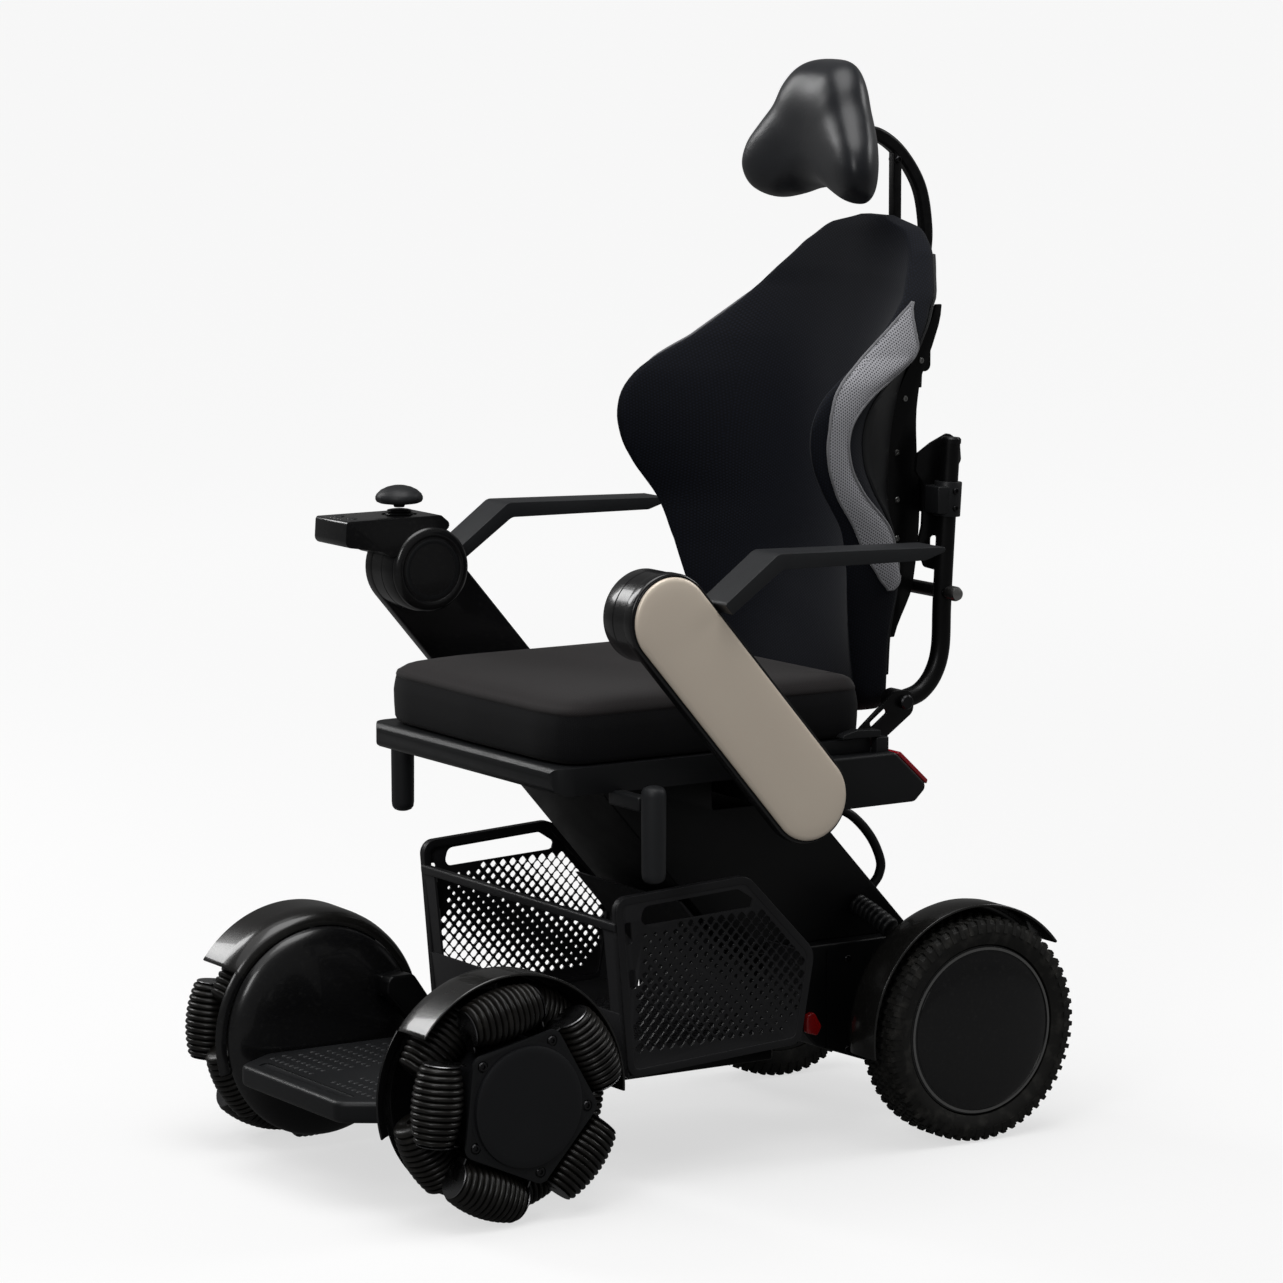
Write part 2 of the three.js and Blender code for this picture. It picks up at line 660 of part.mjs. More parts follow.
function backFrame() {
  const route = [[327, 815], [321, 720], [316, 630], [314, 575], [304, 545], [286, 526], [264, 519],
    [255, 519]].map(([y, z]) => [caneX, y, z]);
  const pinHole = rodX(5.6, 140, 190, backPivot, 8);
  const eye = rodX(13, 155, 176, backPivot, 14);
  const leg = without(joined(tube(route, caneRadius, 8, 10), eye), pinHole);
  const spineOutline = [[296, 700], [302, 700], [322, 800], [344, 900], [358, 960], [352, 960], [338, 900],
    [316, 800]];
  const spine = acrossX(spineOutline, -35, 35);
  const crossPlate = box(-caneX, caneX, 319, 325, 728, 768);
  const crossBlock = box(-45, 45, 307, 322, 732, 764);
  const crossbar = rodX(8, -196, 196, { y: 317, z: 640 }, 14);
  const cheek = box(9.5, 20, 342, 402, 880, 930);
  return joined(leg, mirrored(leg), spine, crossPlate, crossBlock, crossbar, cheek, mirrored(cheek));
}

// ---------------------------------------------------------------- headrest
const head = { y: 254, z: 1165, halfWidth: 121, wrap: 36, thickness: 50 };
const headPivot = { y: 299, z: 1162 };
const ballGap = 4;

function headOutline(u) {
  const share = Math.abs(u);
  return {
    top: 84 - 46 * share ** 1.3 - 30 * share ** 6,
    bottom: -64 - 26 * Math.sin(Math.PI * share ** 1.2) + 60 * share ** 7,
  };
}

function headSheet(side) {
  return (u, v) => {
    const { top, bottom } = headOutline(u);
    const z = head.z + bottom + (top - bottom) * v;
    const edge = Math.max(1 - Math.abs(u) ** 5, 0) * (1 - Math.abs(2 * v - 1) ** 4);
    const bulge = (head.thickness / 2) * (0.35 + 0.65 * Math.max(edge, 0));
    return [u * head.halfWidth, head.y + side * bulge - head.wrap * u * u + 20, z];
  };
}

const headPad = () => betweenSheets(headSheet(-1), headSheet(1), 12, 8);

function headStem() {
  const route = [[392, 860], [396, 940], [404, 1010], [406, 1050], [396, 1098], [368, 1138], [335, 1160],
    [headPivot.y + ballGap, headPivot.z]].map(([y, z]) => [0, y, z]);
  const arc = tube(route, 8, 8, 14);
  const bar = box(-6, 6, 357, 368, 1000, 1146);
  const foot = box(-6, 6, 358, 404, 996, 1012);
  return joined(arc, bar, foot);
}

function seatHarness() {
  const route = [[206, 404.5], [210, 391], [244, 372], [270, 345], [284, 316], [282, 299], [273, 287.5]]
    .map(([y, z]) => [90, y, z]);
  return tube(route, 6, 8, 16);
}

// ---------------------------------------------------------------- assembly
addPart('base_housing', baseHousing(), 'satinBlack');
addPart('main_beam', mainBeam(), 'satinBlack');
addPart('battery_pack', battery(), 'satinBlack');
addPart('front_frame', frontFrame(), 'blackMetal');
addPart('footplate', footplate(), 'satinBlack');
addPart('basket', basket(), 'basketGrey');
addPair('front_fender', frontFender(), 'glossBlack');
addPair('wheel_cover', wheelCover(), 'glossBlack');
addPair('rear_fender', rearFender(), 'glossBlack');
addPair('drive_motor', driveMotor(), 'blackMetal');
addPair('motor_cable', motorCable(), 'rubber');
addPair('brake_lever', brakeLever(), 'redPlastic');

addPair('front_hub', frontHub(), 'satinBlack');
addPair('inner_rollers', innerRollers(), 'rubber');
addOuterRollers();
addPair('rear_tyre', rearTyre(), 'rubber');
addPair('rear_rim', rearRim(), 'glossBlack');

addPart('seat_tray', seatTray(), 'satinBlack');
addPart('seat_cushion', seatCushion(), 'seatFabric');
addPart('rear_housing', rearHousing(), 'satinBlack');
addPart('rear_lamp', rearLamp(), 'redPlastic');
addPart('back_release_lever', releaseLever(), 'satinBlack');
addPart('seat_harness', seatHarness(), 'rubber');
addPair('side_post', sidePost(), 'padGrey');

addPair('arm_housing', armHousing(), 'satinBlack');
addPair('arm_panel', armPanel(), 'champagne');
addPair('arm_pad', armPad(), 'padGrey');
addPart('controller_pod', controllerPod(), 'satinBlack');
addPart('joystick_boot', joystickBoot(), 'rubber');
addPart('joystick_knob', joystickKnob(), 'padGrey');
addPart('power_button', podButton(powerButtonX), 'padGrey');
addPart('speed_button', podButton(speedButtonX), 'padGrey');

addPart('backrest_cushion', backCushion(), 'backMesh');
addPart('backrest_shell', backShell(), 'satinBlack');
addPart('back_frame', backFrame(), 'blackMetal');
addPart('headrest_stem', headStem(), 'blackMetal');
addPart('headrest_pad', headPad(), 'headVinyl');

export default chair;
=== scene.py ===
"""The looks of the power wheelchair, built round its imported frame.

Shapes are worked out in millimetres in the frame's own axes (+Z up, the chair faces -Y, the
sitter's left is +X) and scaled to metres when a piece is made.
"""
import json
import math

import bmesh
import bpy
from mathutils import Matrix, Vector


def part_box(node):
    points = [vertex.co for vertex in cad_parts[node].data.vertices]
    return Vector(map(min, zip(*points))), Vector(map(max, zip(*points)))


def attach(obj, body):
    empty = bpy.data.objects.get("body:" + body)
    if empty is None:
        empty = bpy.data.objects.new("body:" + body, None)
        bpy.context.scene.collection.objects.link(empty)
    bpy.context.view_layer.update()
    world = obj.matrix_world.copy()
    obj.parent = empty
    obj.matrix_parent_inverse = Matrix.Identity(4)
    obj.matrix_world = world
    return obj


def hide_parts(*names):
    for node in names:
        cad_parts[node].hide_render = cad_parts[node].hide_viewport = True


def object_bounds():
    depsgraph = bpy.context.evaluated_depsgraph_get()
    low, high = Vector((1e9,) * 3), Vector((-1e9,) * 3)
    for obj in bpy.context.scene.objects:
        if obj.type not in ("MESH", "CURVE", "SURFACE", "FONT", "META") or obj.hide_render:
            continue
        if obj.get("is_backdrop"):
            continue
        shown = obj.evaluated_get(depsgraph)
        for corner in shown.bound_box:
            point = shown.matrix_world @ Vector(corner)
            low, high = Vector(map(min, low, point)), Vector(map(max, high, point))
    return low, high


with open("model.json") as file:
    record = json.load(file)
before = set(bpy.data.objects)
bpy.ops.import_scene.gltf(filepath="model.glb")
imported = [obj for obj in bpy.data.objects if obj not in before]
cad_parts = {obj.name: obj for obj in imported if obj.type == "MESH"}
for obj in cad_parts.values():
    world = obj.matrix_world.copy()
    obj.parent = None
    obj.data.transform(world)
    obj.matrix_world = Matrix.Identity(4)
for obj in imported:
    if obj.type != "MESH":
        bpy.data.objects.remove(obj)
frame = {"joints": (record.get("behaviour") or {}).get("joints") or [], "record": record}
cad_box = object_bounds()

MM = 0.001
X, Y, Z = Vector((1, 0, 0)), Vector((0, 1, 0)), Vector((0, 0, 1))
SIDES = {"left": 1, "right": -1}
JOINTS = {joint["name"]: joint for joint in frame["joints"]}
SLOTS = {entry["node"]: entry["material_slot"] for entry in frame["record"]["subparts"]}
BODIES = {node: body for body, nodes in frame["record"]["behaviour"]["bodies"].items() for node in nodes}


def pivot(joint):
    return Vector(JOINTS[joint]["pos_m"]) / MM


FRONT_AXLE = pivot("front_wheel_left_spin")
REAR_AXLE = pivot("rear_wheel_left_spin")
ARM_PIVOT = pivot("arm_left_lift")
BACK_PIVOT = pivot("backrest_recline")
STICK = pivot("joystick_fore_aft")
HEAD_PIVOT = pivot("headrest_tilt")
WHEEL_RADIUS = FRONT_AXLE.z
FRONT_MIDDLE = (0, FRONT_AXLE.y, FRONT_AXLE.z)
REAR_MIDDLE = (0, REAR_AXLE.y, REAR_AXLE.z)


# ---------------------------------------------------------------- shapes
class Shape:
    """Corners in millimetres, and faces that list them by number."""

    def __init__(self, corners=(), faces=()):
        self.corners = [Vector(c) for c in corners]
        self.faces = [tuple(f) for f in faces]

    def __add__(self, other):
        shift = len(self.corners)
        moved = [tuple(i + shift for i in face) for face in other.faces]
        return Shape(self.corners + other.corners, self.faces + moved)

    def at(self, *offset):
        return Shape([c + Vector(offset) for c in self.corners], self.faces)

    def mirrored(self):
        flipped = [Vector((-c.x, c.y, c.z)) for c in self.corners]
        return Shape(flipped, [face[::-1] for face in self.faces])


def total(shapes):
    joined = Shape()
    for shape in shapes:
        joined = joined + shape
    return joined


def both_sides(shape):
    return shape + shape.mirrored()


def across(axis):
    """Two directions square to an axis. Round the chair's X axis, angles count from the front over the top."""
    axis = Vector(axis).normalized()
    if abs(axis.x) > 0.99:
        return axis, -Y, Z
    first = axis.cross(X).normalized()
    return axis, first, axis.cross(first)


def revolve(profile, centre, axis=X, segments=64, arc=None, loop=False):
    """Turns (radius, along) points round an axis. With an arc, in degrees, it is a closed and capped section."""
    axis, first, second = across(axis)
    centre = Vector(centre)
    start, end = arc or (0, 360)
    count = segments + 1 if arc else segments
    turns = [math.radians(start + (end - start) * i / segments) for i in range(count)]
    corners, rings = [], []
    for radius, along in profile:
        middle = centre + axis * along
        if radius < 1e-6:
            rings.append([len(corners)] * count)
            corners.append(middle)
            continue
        rings.append(list(range(len(corners), len(corners) + count)))
        corners += [middle + (first * math.cos(t) + second * math.sin(t)) * radius for t in turns]
    pairs = list(zip(rings, rings[1:]))
    if loop or arc:
        pairs.append((rings[-1], rings[0]))
    faces = []
    for low, high in pairs:
        for i in range(segments):
            j = (i + 1) % count
            face = list(dict.fromkeys((low[i], low[j], high[j], high[i])))
            if len(face) > 2:
                faces.append(face)
    if arc:
        faces.append([ring[0] for ring in rings])
        faces.append([ring[-1] for ring in reversed(rings)])
    return Shape(corners, faces)


def rod(radius, low, high, centre, axis=X, segments=32):
    """A plain cylinder between two places along its axis."""
    return revolve([(0, low), (radius, low), (radius, high), (0, high)], centre, axis, segments)


def prism(outline, low, high, along="x"):
    """An outline carried along one axis. It lists (y, z), (x, z) or (x, y) points for x, y or z."""
    place = {"x": lambda a, b, t: (t, a, b), "y": lambda a, b, t: (a, t, b),
             "z": lambda a, b, t: (a, b, t)}[along]
    count = len(outline)
    corners = [place(a, b, low) for a, b in outline] + [place(a, b, high) for a, b in outline]
    faces = [list(range(count)), list(range(count, 2 * count))[::-1]]
    faces += [(i, i + count, (i + 1) % count + count, (i + 1) % count) for i in range(count)]
    return Shape(corners, faces)


def block(x0, x1, y0, y1, z0, z1):
    return prism([(y0, z0), (y1, z0), (y1, z1), (y0, z1)], x0, x1)


def filleted(points, radius, steps=6):
    """The outline with its corners rounded as arcs. A radius may be one number or one for each corner."""
    radii = radius if isinstance(radius, (list, tuple)) else [radius] * len(points)
    points = [Vector(p) for p in points]
    outline = []
    for i, corner in enumerate(points):
        before, after = points[i - 1] - corner, points[(i + 1) % len(points)] - corner
        reach_limit = min(before.length, after.length) / 2.05
        opening = before.angle(after)
        reach = min(radii[i] / math.tan(opening / 2), reach_limit)
        if reach < 0.05:
            outline.append(tuple(corner))
            continue
        used = reach * math.tan(opening / 2)
        middle = corner + (before.normalized() + after.normalized()).normalized() * (used / math.sin(opening / 2))
        start = corner + before.normalized() * reach - middle
        end = corner + after.normalized() * reach - middle
        for step in range(steps + 1):
            spoke = start.lerp(end, step / steps)
            outline.append(tuple(middle + spoke.normalized() * used))
    return outline


def inset(outline, distance):
    """The outline moved inward along its corners' bisectors."""
    points = [Vector(p) for p in outline]
    area = sum(a.cross(b) for a, b in zip(points, points[1:] + points[:1]))
    turn = 1 if area > 0 else -1
    moved = []
    for i, point in enumerate(points):
        before = (point - points[i - 1]).normalized()
        after = (points[(i + 1) % len(points)] - point).normalized()
        normals = [Vector((-d.y, d.x)) * turn for d in (before, after)]
        bisector = (normals[0] + normals[1]).normalized()
        moved.append(tuple(point + bisector * (distance / max(bisector.dot(normals[0]), 0.35))))
    return moved


def stadium(top, bottom, radius, steps=32):
    """Two (y, z) centres joined into a slot-ended outline."""
    lean = math.atan2(top[1] - bottom[1], top[0] - bottom[0])
    outline = []
    for centre, start in ((top, lean - math.pi / 2), (bottom, lean + math.pi / 2)):
        for i in range(steps + 1):
            angle = start + math.pi * i / steps
            outline.append((centre[0] + radius * math.cos(angle), centre[1] + radius * math.sin(angle)))
    return outline


def smooth_path(points, per_span=10):
    """A Catmull-Rom curve through the points."""
    points = [Vector(p) for p in points]
    padded = [points[0] * 2 - points[1], *points, points[-1] * 2 - points[-2]]
    path = []
    for i in range(1, len(padded) - 2):
        a, b, c, d = padded[i - 1:i + 3]
        for step in range(per_span):
            t = step / per_span
            path.append(b + 0.5 * t * (c - a + t * (2 * a - 5 * b + 4 * c - d + t * (3 * (b - c) + d - a))))
    return path + [points[-1]]


def wall_faces(count, rings):
    """The faces between rings of corners, each ring closed and with the same count."""
    steps = [(i, (i + 1) % count) for i in range(count)]
    return [(low + i, low + j, low + count + j, low + count + i)
            for low in range(0, (rings - 1) * count, count) for i, j in steps]


def capped(corners, count):
    """A solid from rings of corners, closed by a face at each end."""
    last = len(corners) - count
    ends = [list(range(count)), list(range(last, last + count))[::-1]]
    return Shape(corners, ends + wall_faces(count, len(corners) // count))


def slab(outer, inner, rows, columns):
    """A thick sheet from two grids of corners, closed along its four edges."""
    row, size = columns + 1, len(outer)
    faces = []
    for a in (j * row + i for j in range(rows) for i in range(columns)):
        faces.append((a, a + 1, a + row + 1, a + row))
        faces.append((size + a, size + a + row, size + a + row + 1, size + a + 1))
    for i in range(columns):
        top = rows * row + i
        faces.append((i + 1, i, size + i, size + i + 1))
        faces.append((top, top + 1, size + top + 1, size + top))
    for left in (j * row for j in range(rows)):
        right = left + columns
        faces.append((left, left + row, size + left + row, size + left))
        faces.append((right + row, right, size + right, size + right + row))
    return Shape(outer + inner, faces)


def sweep(path, section, scale=None):
    """Carries a closed section of (a, b) points along a path without twist, and caps it."""
    tangents = [(path[min(i + 1, len(path) - 1)] - path[max(i - 1, 0)]).normalized() for i in range(len(path))]
    side = tangents[0].cross(X if abs(tangents[0].x) < 0.9 else Z).normalized()
    corners = []
    for i, (point, tangent) in enumerate(zip(path, tangents)):
        side = (side - tangent * side.dot(tangent)).normalized()
        other = tangent.cross(side)
        size = scale(i / (len(path) - 1)) if scale else 1
        corners += [point + (side * a + other * b) * size for a, b in section]
    return capped(corners, len(section))


def circle(radius, sides=20):
    turns = [2 * math.pi * i / sides for i in range(sides)]
    return [(radius * math.cos(turn), radius * math.sin(turn)) for turn in turns]


def tube(points, radius, sides=20, per_span=10, scale=None):
    return sweep(smooth_path(points, per_span), circle(radius, sides), scale)


def to_bmesh(shape):
    mesh = bmesh.new()
    corners = [mesh.verts.new(c) for c in shape.corners]
    for face in shape.faces:
        if len(set(face)) > 2:
            mesh.faces.new([corners[i] for i in face])
    bmesh.ops.recalc_face_normals(mesh, faces=mesh.faces)
    return mesh


def from_bmesh(mesh):
    mesh.verts.index_update()
    shape = Shape([v.co.copy() for v in mesh.verts], [[v.index for v in face.verts] for face in mesh.faces])
    mesh.free()
    return shape


def bevelled(shape, width, segments=3, angle=28):
    """Rounds the edges that are sharper than an angle."""
    mesh = to_bmesh(shape)
    limit = math.radians(angle)
    edges = [e for e in mesh.edges if len(e.link_faces) == 2 and e.calc_face_angle(0) > limit]
    bmesh.ops.bevel(mesh, geom=edges, offset=width, segments=segments, profile=0.5, affect="EDGES",
                    clamp_overlap=True)
    return from_bmesh(mesh)


def plate(outline, radius, low, high, edge, segments=3, along="x"):
    """An outline with rounded corners, carried along an axis, with its edges rounded too."""
    return bevelled(prism(filleted(outline, radius), low, high, along), edge, segments)


def scratch_object(shape):
    mesh = bpy.data.meshes.new("scratch")
    source = to_bmesh(shape)
    source.to_mesh(mesh)
    source.free()
    thing = bpy.data.objects.new("scratch", mesh)
    bpy.context.scene.collection.objects.link(thing)
    return thing


def evaluated(thing):
    """The object's mesh with its modifiers applied, as a Shape. The object is removed."""
    graph = bpy.context.evaluated_depsgraph_get()
    mesh = thing.evaluated_get(graph).data
    shape = Shape([v.co.copy() for v in mesh.vertices], [tuple(p.vertices) for p in mesh.polygons])
    bpy.data.objects.remove(thing)
    return shape


def cut(shape, cutter, operation="DIFFERENCE"):
    body, tool = scratch_object(shape), scratch_object(cutter)
    boolean = body.modifiers.new("cut", "BOOLEAN")
    boolean.object = tool
    boolean.operation = operation
    boolean.solver = "MANIFOLD"
    result = evaluated(body)
    bpy.data.objects.remove(tool)
    return result


# ---------------------------------------------------------------- pieces
def piece(name, shape, material, body, slot, hides=(), smooth=32):
    """Makes the object, in metres, ties it to its body and hides the nodes that it stands for."""
    mesh = bpy.data.meshes.new(name)
    source = to_bmesh(Shape([c * MM for c in shape.corners], shape.faces))
    source.to_mesh(mesh)
    source.free()
    mesh.shade_smooth()
    if smooth < 180:
        mesh.set_sharp_from_angle(angle=math.radians(smooth))
    mesh.materials.append(material)
    thing = bpy.data.objects.new(name, mesh)
    bpy.context.scene.collection.objects.link(thing)
    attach(thing, body)
    if hides:
        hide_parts(*hides)
    return thing


def stand_in(name, shape, material, node, more=(), smooth=32):
    """A piece that takes the place of a node, on its body."""
    return piece(name, shape, material, BODIES[node], SLOTS[node], (node, *more), smooth)


def detail(name, shape, material, node, smooth=32):
    """A piece that adds to a node, on its body."""
    return piece(name, shape, material, BODIES[node], SLOTS[node], (), smooth)


def stand_in_pair(name, shape, material, node, smooth=32):
    left = stand_in(f"{name}_left", shape, material, f"{node}_left", smooth=smooth)
    right = stand_in(f"{name}_right", shape.mirrored(), material, f"{node}_right", smooth=smooth)
    return left, right


def detail_pair(name, shape, material, node, smooth=32):
    left = detail(f"{name}_left", shape, material, f"{node}_left", smooth)
    right = detail(f"{name}_right", shape.mirrored(), material, f"{node}_right", smooth)
    return left, right


def hex_screw(centre, axis, radius=5.0, height=3.0):
    """A round-headed screw with a hexagon socket."""
    head = [(0, 0), (radius, 0), (radius, height * 0.55), (radius * 0.82, height), (radius * 0.52, height)]
    socket = [(radius * 0.5, height), (radius * 0.5, height * 0.35), (0, height * 0.35)]
    return revolve(head + socket, centre, axis, 18)


# ---------------------------------------------------------------- materials
def add_node(tree, kind, inputs=(), **settings):
    """Adds a node, sets its properties, and fills or links its inputs."""
    made = tree.nodes.new(kind)
    for key, value in settings.items():
        setattr(made, key, value)
    for key, value in dict(inputs).items():
        if isinstance(value, bpy.types.NodeSocket):
            tree.links.new(value, made.inputs[key])
        else:
            made.inputs[key].default_value = value
    return made


class Graph:
    """A Principled material and short ways to add nodes to it."""

    def __init__(self, name, colour, roughness, metallic=0.0, **sockets):
        self.material = bpy.data.materials.new(name)
        self.material.use_nodes = True
        self.tree = self.material.node_tree
        self.shader = self.tree.nodes["Principled BSDF"]
        self.set("Base Color", (*colour, 1))
        self.set("Roughness", roughness)
        self.set("Metallic", metallic)
        for socket, value in sockets.items():
            self.set(socket.replace("_", " ").title().replace("Ior", "IOR"), value)
        self.place = self.tree.nodes.new("ShaderNodeTexCoord")
        self.bumped = None

    def set(self, socket, value):
        self.shader.inputs[socket].default_value = value

    def link(self, source, target):
        self.tree.links.new(source, target)

    def node(self, kind, inputs=(), **settings):
        return add_node(self.tree, kind, inputs, **settings)

    def math(self, operation, a, b=0.0, clamp=False):
        return self.node("ShaderNodeMath", {0: a, 1: b}, operation=operation, use_clamp=clamp).outputs[0]

    def noise(self, scale, detail=3.0, vector=None, distortion=0.0):
        inputs = {"Vector": vector or self.place.outputs["Object"], "Scale": scale, "Detail": detail,
                  "Distortion": distortion}
        return self.node("ShaderNodeTexNoise", inputs).outputs[0]

    def remap(self, value, low, high, start=0.0, end=1.0):
        inputs = {"Value": value, "From Min": start, "From Max": end, "To Min": low, "To Max": high}
        return self.node("ShaderNodeMapRange", inputs).outputs[0]

    def mix(self, factor, first, second):
        mixer = self.node("ShaderNodeMix", {0: factor}, data_type="RGBA")
        for socket, value in ((6, first), (7, second)):
            if isinstance(value, bpy.types.NodeSocket):
                self.link(value, mixer.inputs[socket])
            else:
                mixer.inputs[socket].default_value = (*value, 1)
        return mixer.outputs[2]

    def colour(self, value):
        self.link(value, self.shader.inputs["Base Color"])

    def roughness(self, value):
        self.link(value, self.shader.inputs["Roughness"])

    def bump(self, height, strength, distance):
        inputs = {"Height": height, "Strength": strength, "Distance": distance}
        if self.bumped:
            inputs["Normal"] = self.bumped
        self.bumped = self.node("ShaderNodeBump", inputs).outputs[0]
        self.link(self.bumped, self.shader.inputs["Normal"])

    def edges(self):
        """Near 1 on worn outer edges and near 0 elsewhere."""
        pointiness = self.node("ShaderNodeNewGeometry").outputs["Pointiness"]
        return self.remap(pointiness, 0, 1, 0.52, 0.60)


def tinted(colour, factor):
    return tuple(min(channel * factor, 1) for channel in colour)


def moulded(name, colour, roughness=0.42, grain=0.10, wear=0.5, mottle=0.18, **sockets):
    """Moulded plastic: a fine grain, slow changes of colour and shine, and paler rubbed edges."""
    graph = Graph(name, colour, roughness, specular_ior_level=0.32, **sockets)
    cloud = graph.noise(9, 4)
    shade = graph.mix(cloud, tinted(colour, 1 - mottle), tinted(colour, 1 + mottle))
    worn = graph.math("MULTIPLY", graph.edges(), wear)
    graph.colour(graph.mix(worn, shade, tuple(channel * 1.6 + 0.012 for channel in colour)))
    graph.roughness(graph.remap(graph.noise(26, 5), roughness - 0.06, roughness + 0.08))
    graph.bump(graph.noise(1500, 2), grain, 0.0004)
    return graph.material


def polished(name, colour, roughness=0.14, coat=0.5, ripple=0.04, **sockets):
    """Polished plastic or lacquer: a clear coat, faint ripples and fine dust."""
    graph = Graph(name, colour, roughness, coat_weight=coat, coat_roughness=0.06, **sockets)
    dust = graph.remap(graph.noise(220, 6), 0, 1, 0.55, 0.8)
    graph.colour(graph.mix(graph.math("MULTIPLY", dust, 0.12), colour, (0.09, 0.09, 0.085)))
    graph.roughness(graph.remap(graph.noise(14, 5), roughness - 0.04, roughness + 0.07))
    graph.bump(graph.noise(22, 2), ripple, 0.002)
    return graph.material


def rubber(name, colour, roughness, grain=0.25, scuff=0.35, scale=700):
    """Rubber: a pitted skin with scuffed, dusty high spots."""
    graph = Graph(name, colour, roughness, specular_ior_level=0.35)
    scuffed = graph.math("MULTIPLY", graph.remap(graph.noise(60, 6), 0, 1, 0.5, 0.75), scuff)
    graph.colour(graph.mix(scuffed, colour, (0.10, 0.095, 0.085)))
    graph.roughness(graph.remap(graph.noise(90, 5), roughness - 0.1, roughness + 0.16))
    graph.bump(graph.noise(scale, 3), grain, 0.0006)
    return graph.material


def coated_metal(name, colour, roughness=0.3, metallic=0.55, **sockets):
    """Powder-coated metal: orange peel and small bright chips."""
    graph = Graph(name, colour, roughness, metallic, **sockets)
    worn = graph.math("MULTIPLY", graph.edges(), graph.remap(graph.noise(120, 4), 0, 1, 0.45, 0.6))
    graph.colour(graph.mix(graph.math("MULTIPLY", worn, 0.08), colour, (0.10, 0.10, 0.105)))
    graph.roughness(graph.remap(graph.noise(40, 4), roughness - 0.06, roughness + 0.1))
    graph.bump(graph.noise(420, 2), 0.12, 0.0005)
    return graph.material


def bare_metal(name, colour, roughness=0.25):
    """Machined metal with fine turned marks."""
    graph = Graph(name, colour, roughness, 1.0)
    graph.roughness(graph.remap(graph.noise(60, 5), roughness - 0.08, roughness + 0.12))
    marks = graph.node("ShaderNodeTexWave",
                       {"Vector": graph.place.outputs["Object"], "Scale": 500, "Distortion": 2})
    graph.bump(marks.outputs[1], 0.05, 0.0002)
    return graph.material


def cloth_plane(graph):
    """Coordinates that lie in the surface: of X, Y and Z, the one that the face looks along is dropped."""
    facing = graph.node("ShaderNodeSeparateXYZ", {0: graph.place.outputs["Normal"]}).outputs
    point = graph.node("ShaderNodeSeparateXYZ", {0: graph.place.outputs["Object"]}).outputs
    size = [graph.math("ABSOLUTE", facing[i]) for i in range(3)]
    flat = graph.math("MULTIPLY", graph.math("GREATER_THAN", size[2], size[0]),
                      graph.math("GREATER_THAN", size[2], size[1]))
    sideways = graph.math("MULTIPLY", graph.math("GREATER_THAN", size[0], size[1]),
                          graph.math("SUBTRACT", 1.0, flat))
    pick = lambda choice, yes, no: graph.node(
        "ShaderNodeMix", {0: choice, 2: no, 3: yes}, data_type="FLOAT").outputs[0]
    return pick(sideways, point[1], point[0]), pick(flat, point[1], point[2])


def woven(name, low, high, pitch, depth, roughness=0.9, sheen=0.25, holes=False, blotch=0.25):
    """Knitted or spacer-mesh cloth. Threads lie on a slanted lattice, one stitch every pitch millimetres."""
    graph = Graph(name, low, roughness, sheen_weight=sheen, sheen_roughness=0.45)
    graph.set("Specular IOR Level", 0.22)
    u, v = cloth_plane(graph)
    turns = 2 * math.pi / (pitch * MM)
    rise = graph.math("ADD", graph.math("MULTIPLY", u, turns / 2), graph.math("MULTIPLY", v, turns * 0.866))
    fall = graph.math("SUBTRACT", graph.math("MULTIPLY", u, turns / 2), graph.math("MULTIPLY", v, turns * 0.866))
    level = graph.math("MULTIPLY", u, turns)
    waves = [graph.math("COSINE", wave) for wave in (rise, fall, level)]
    lattice = graph.math("ADD", graph.math("ADD", waves[0], waves[1]), waves[2])
    stitch = graph.remap(lattice, 0, 1, -1.5, 3.0)
    if holes:
        stitch = graph.remap(stitch, 1, 0, 0.25, 0.85)
    cloud = graph.noise(7, 3)
    thread = graph.mix(graph.math("MULTIPLY", cloud, blotch * 2), high, tinted(high, 0.6))
    graph.colour(graph.mix(stitch, low, thread))
    graph.bump(graph.noise(900, 2), 0.1, 0.0003)
    graph.bump(stitch, 0.6, depth * MM)
    return graph.material


def leathery(name, colour, roughness=0.36):
    """Coated cloth with a fine pebble grain and soft creases."""
    graph = Graph(name, colour, roughness, sheen_weight=0.08, sheen_roughness=0.5)
    cell = graph.node("ShaderNodeTexVoronoi", {"Vector": graph.place.outputs["Object"], "Scale": 620},
                      feature="SMOOTH_F1").outputs["Distance"]
    graph.colour(graph.mix(graph.noise(12, 4), tinted(colour, 0.8), tinted(colour, 1.25)))
    graph.roughness(graph.remap(graph.noise(18, 4), roughness - 0.05, roughness + 0.09))
    graph.bump(cell, 0.12, 0.0006)
    graph.bump(graph.noise(16, 2, distortion=0.6), 0.1, 0.003)
    return graph.material


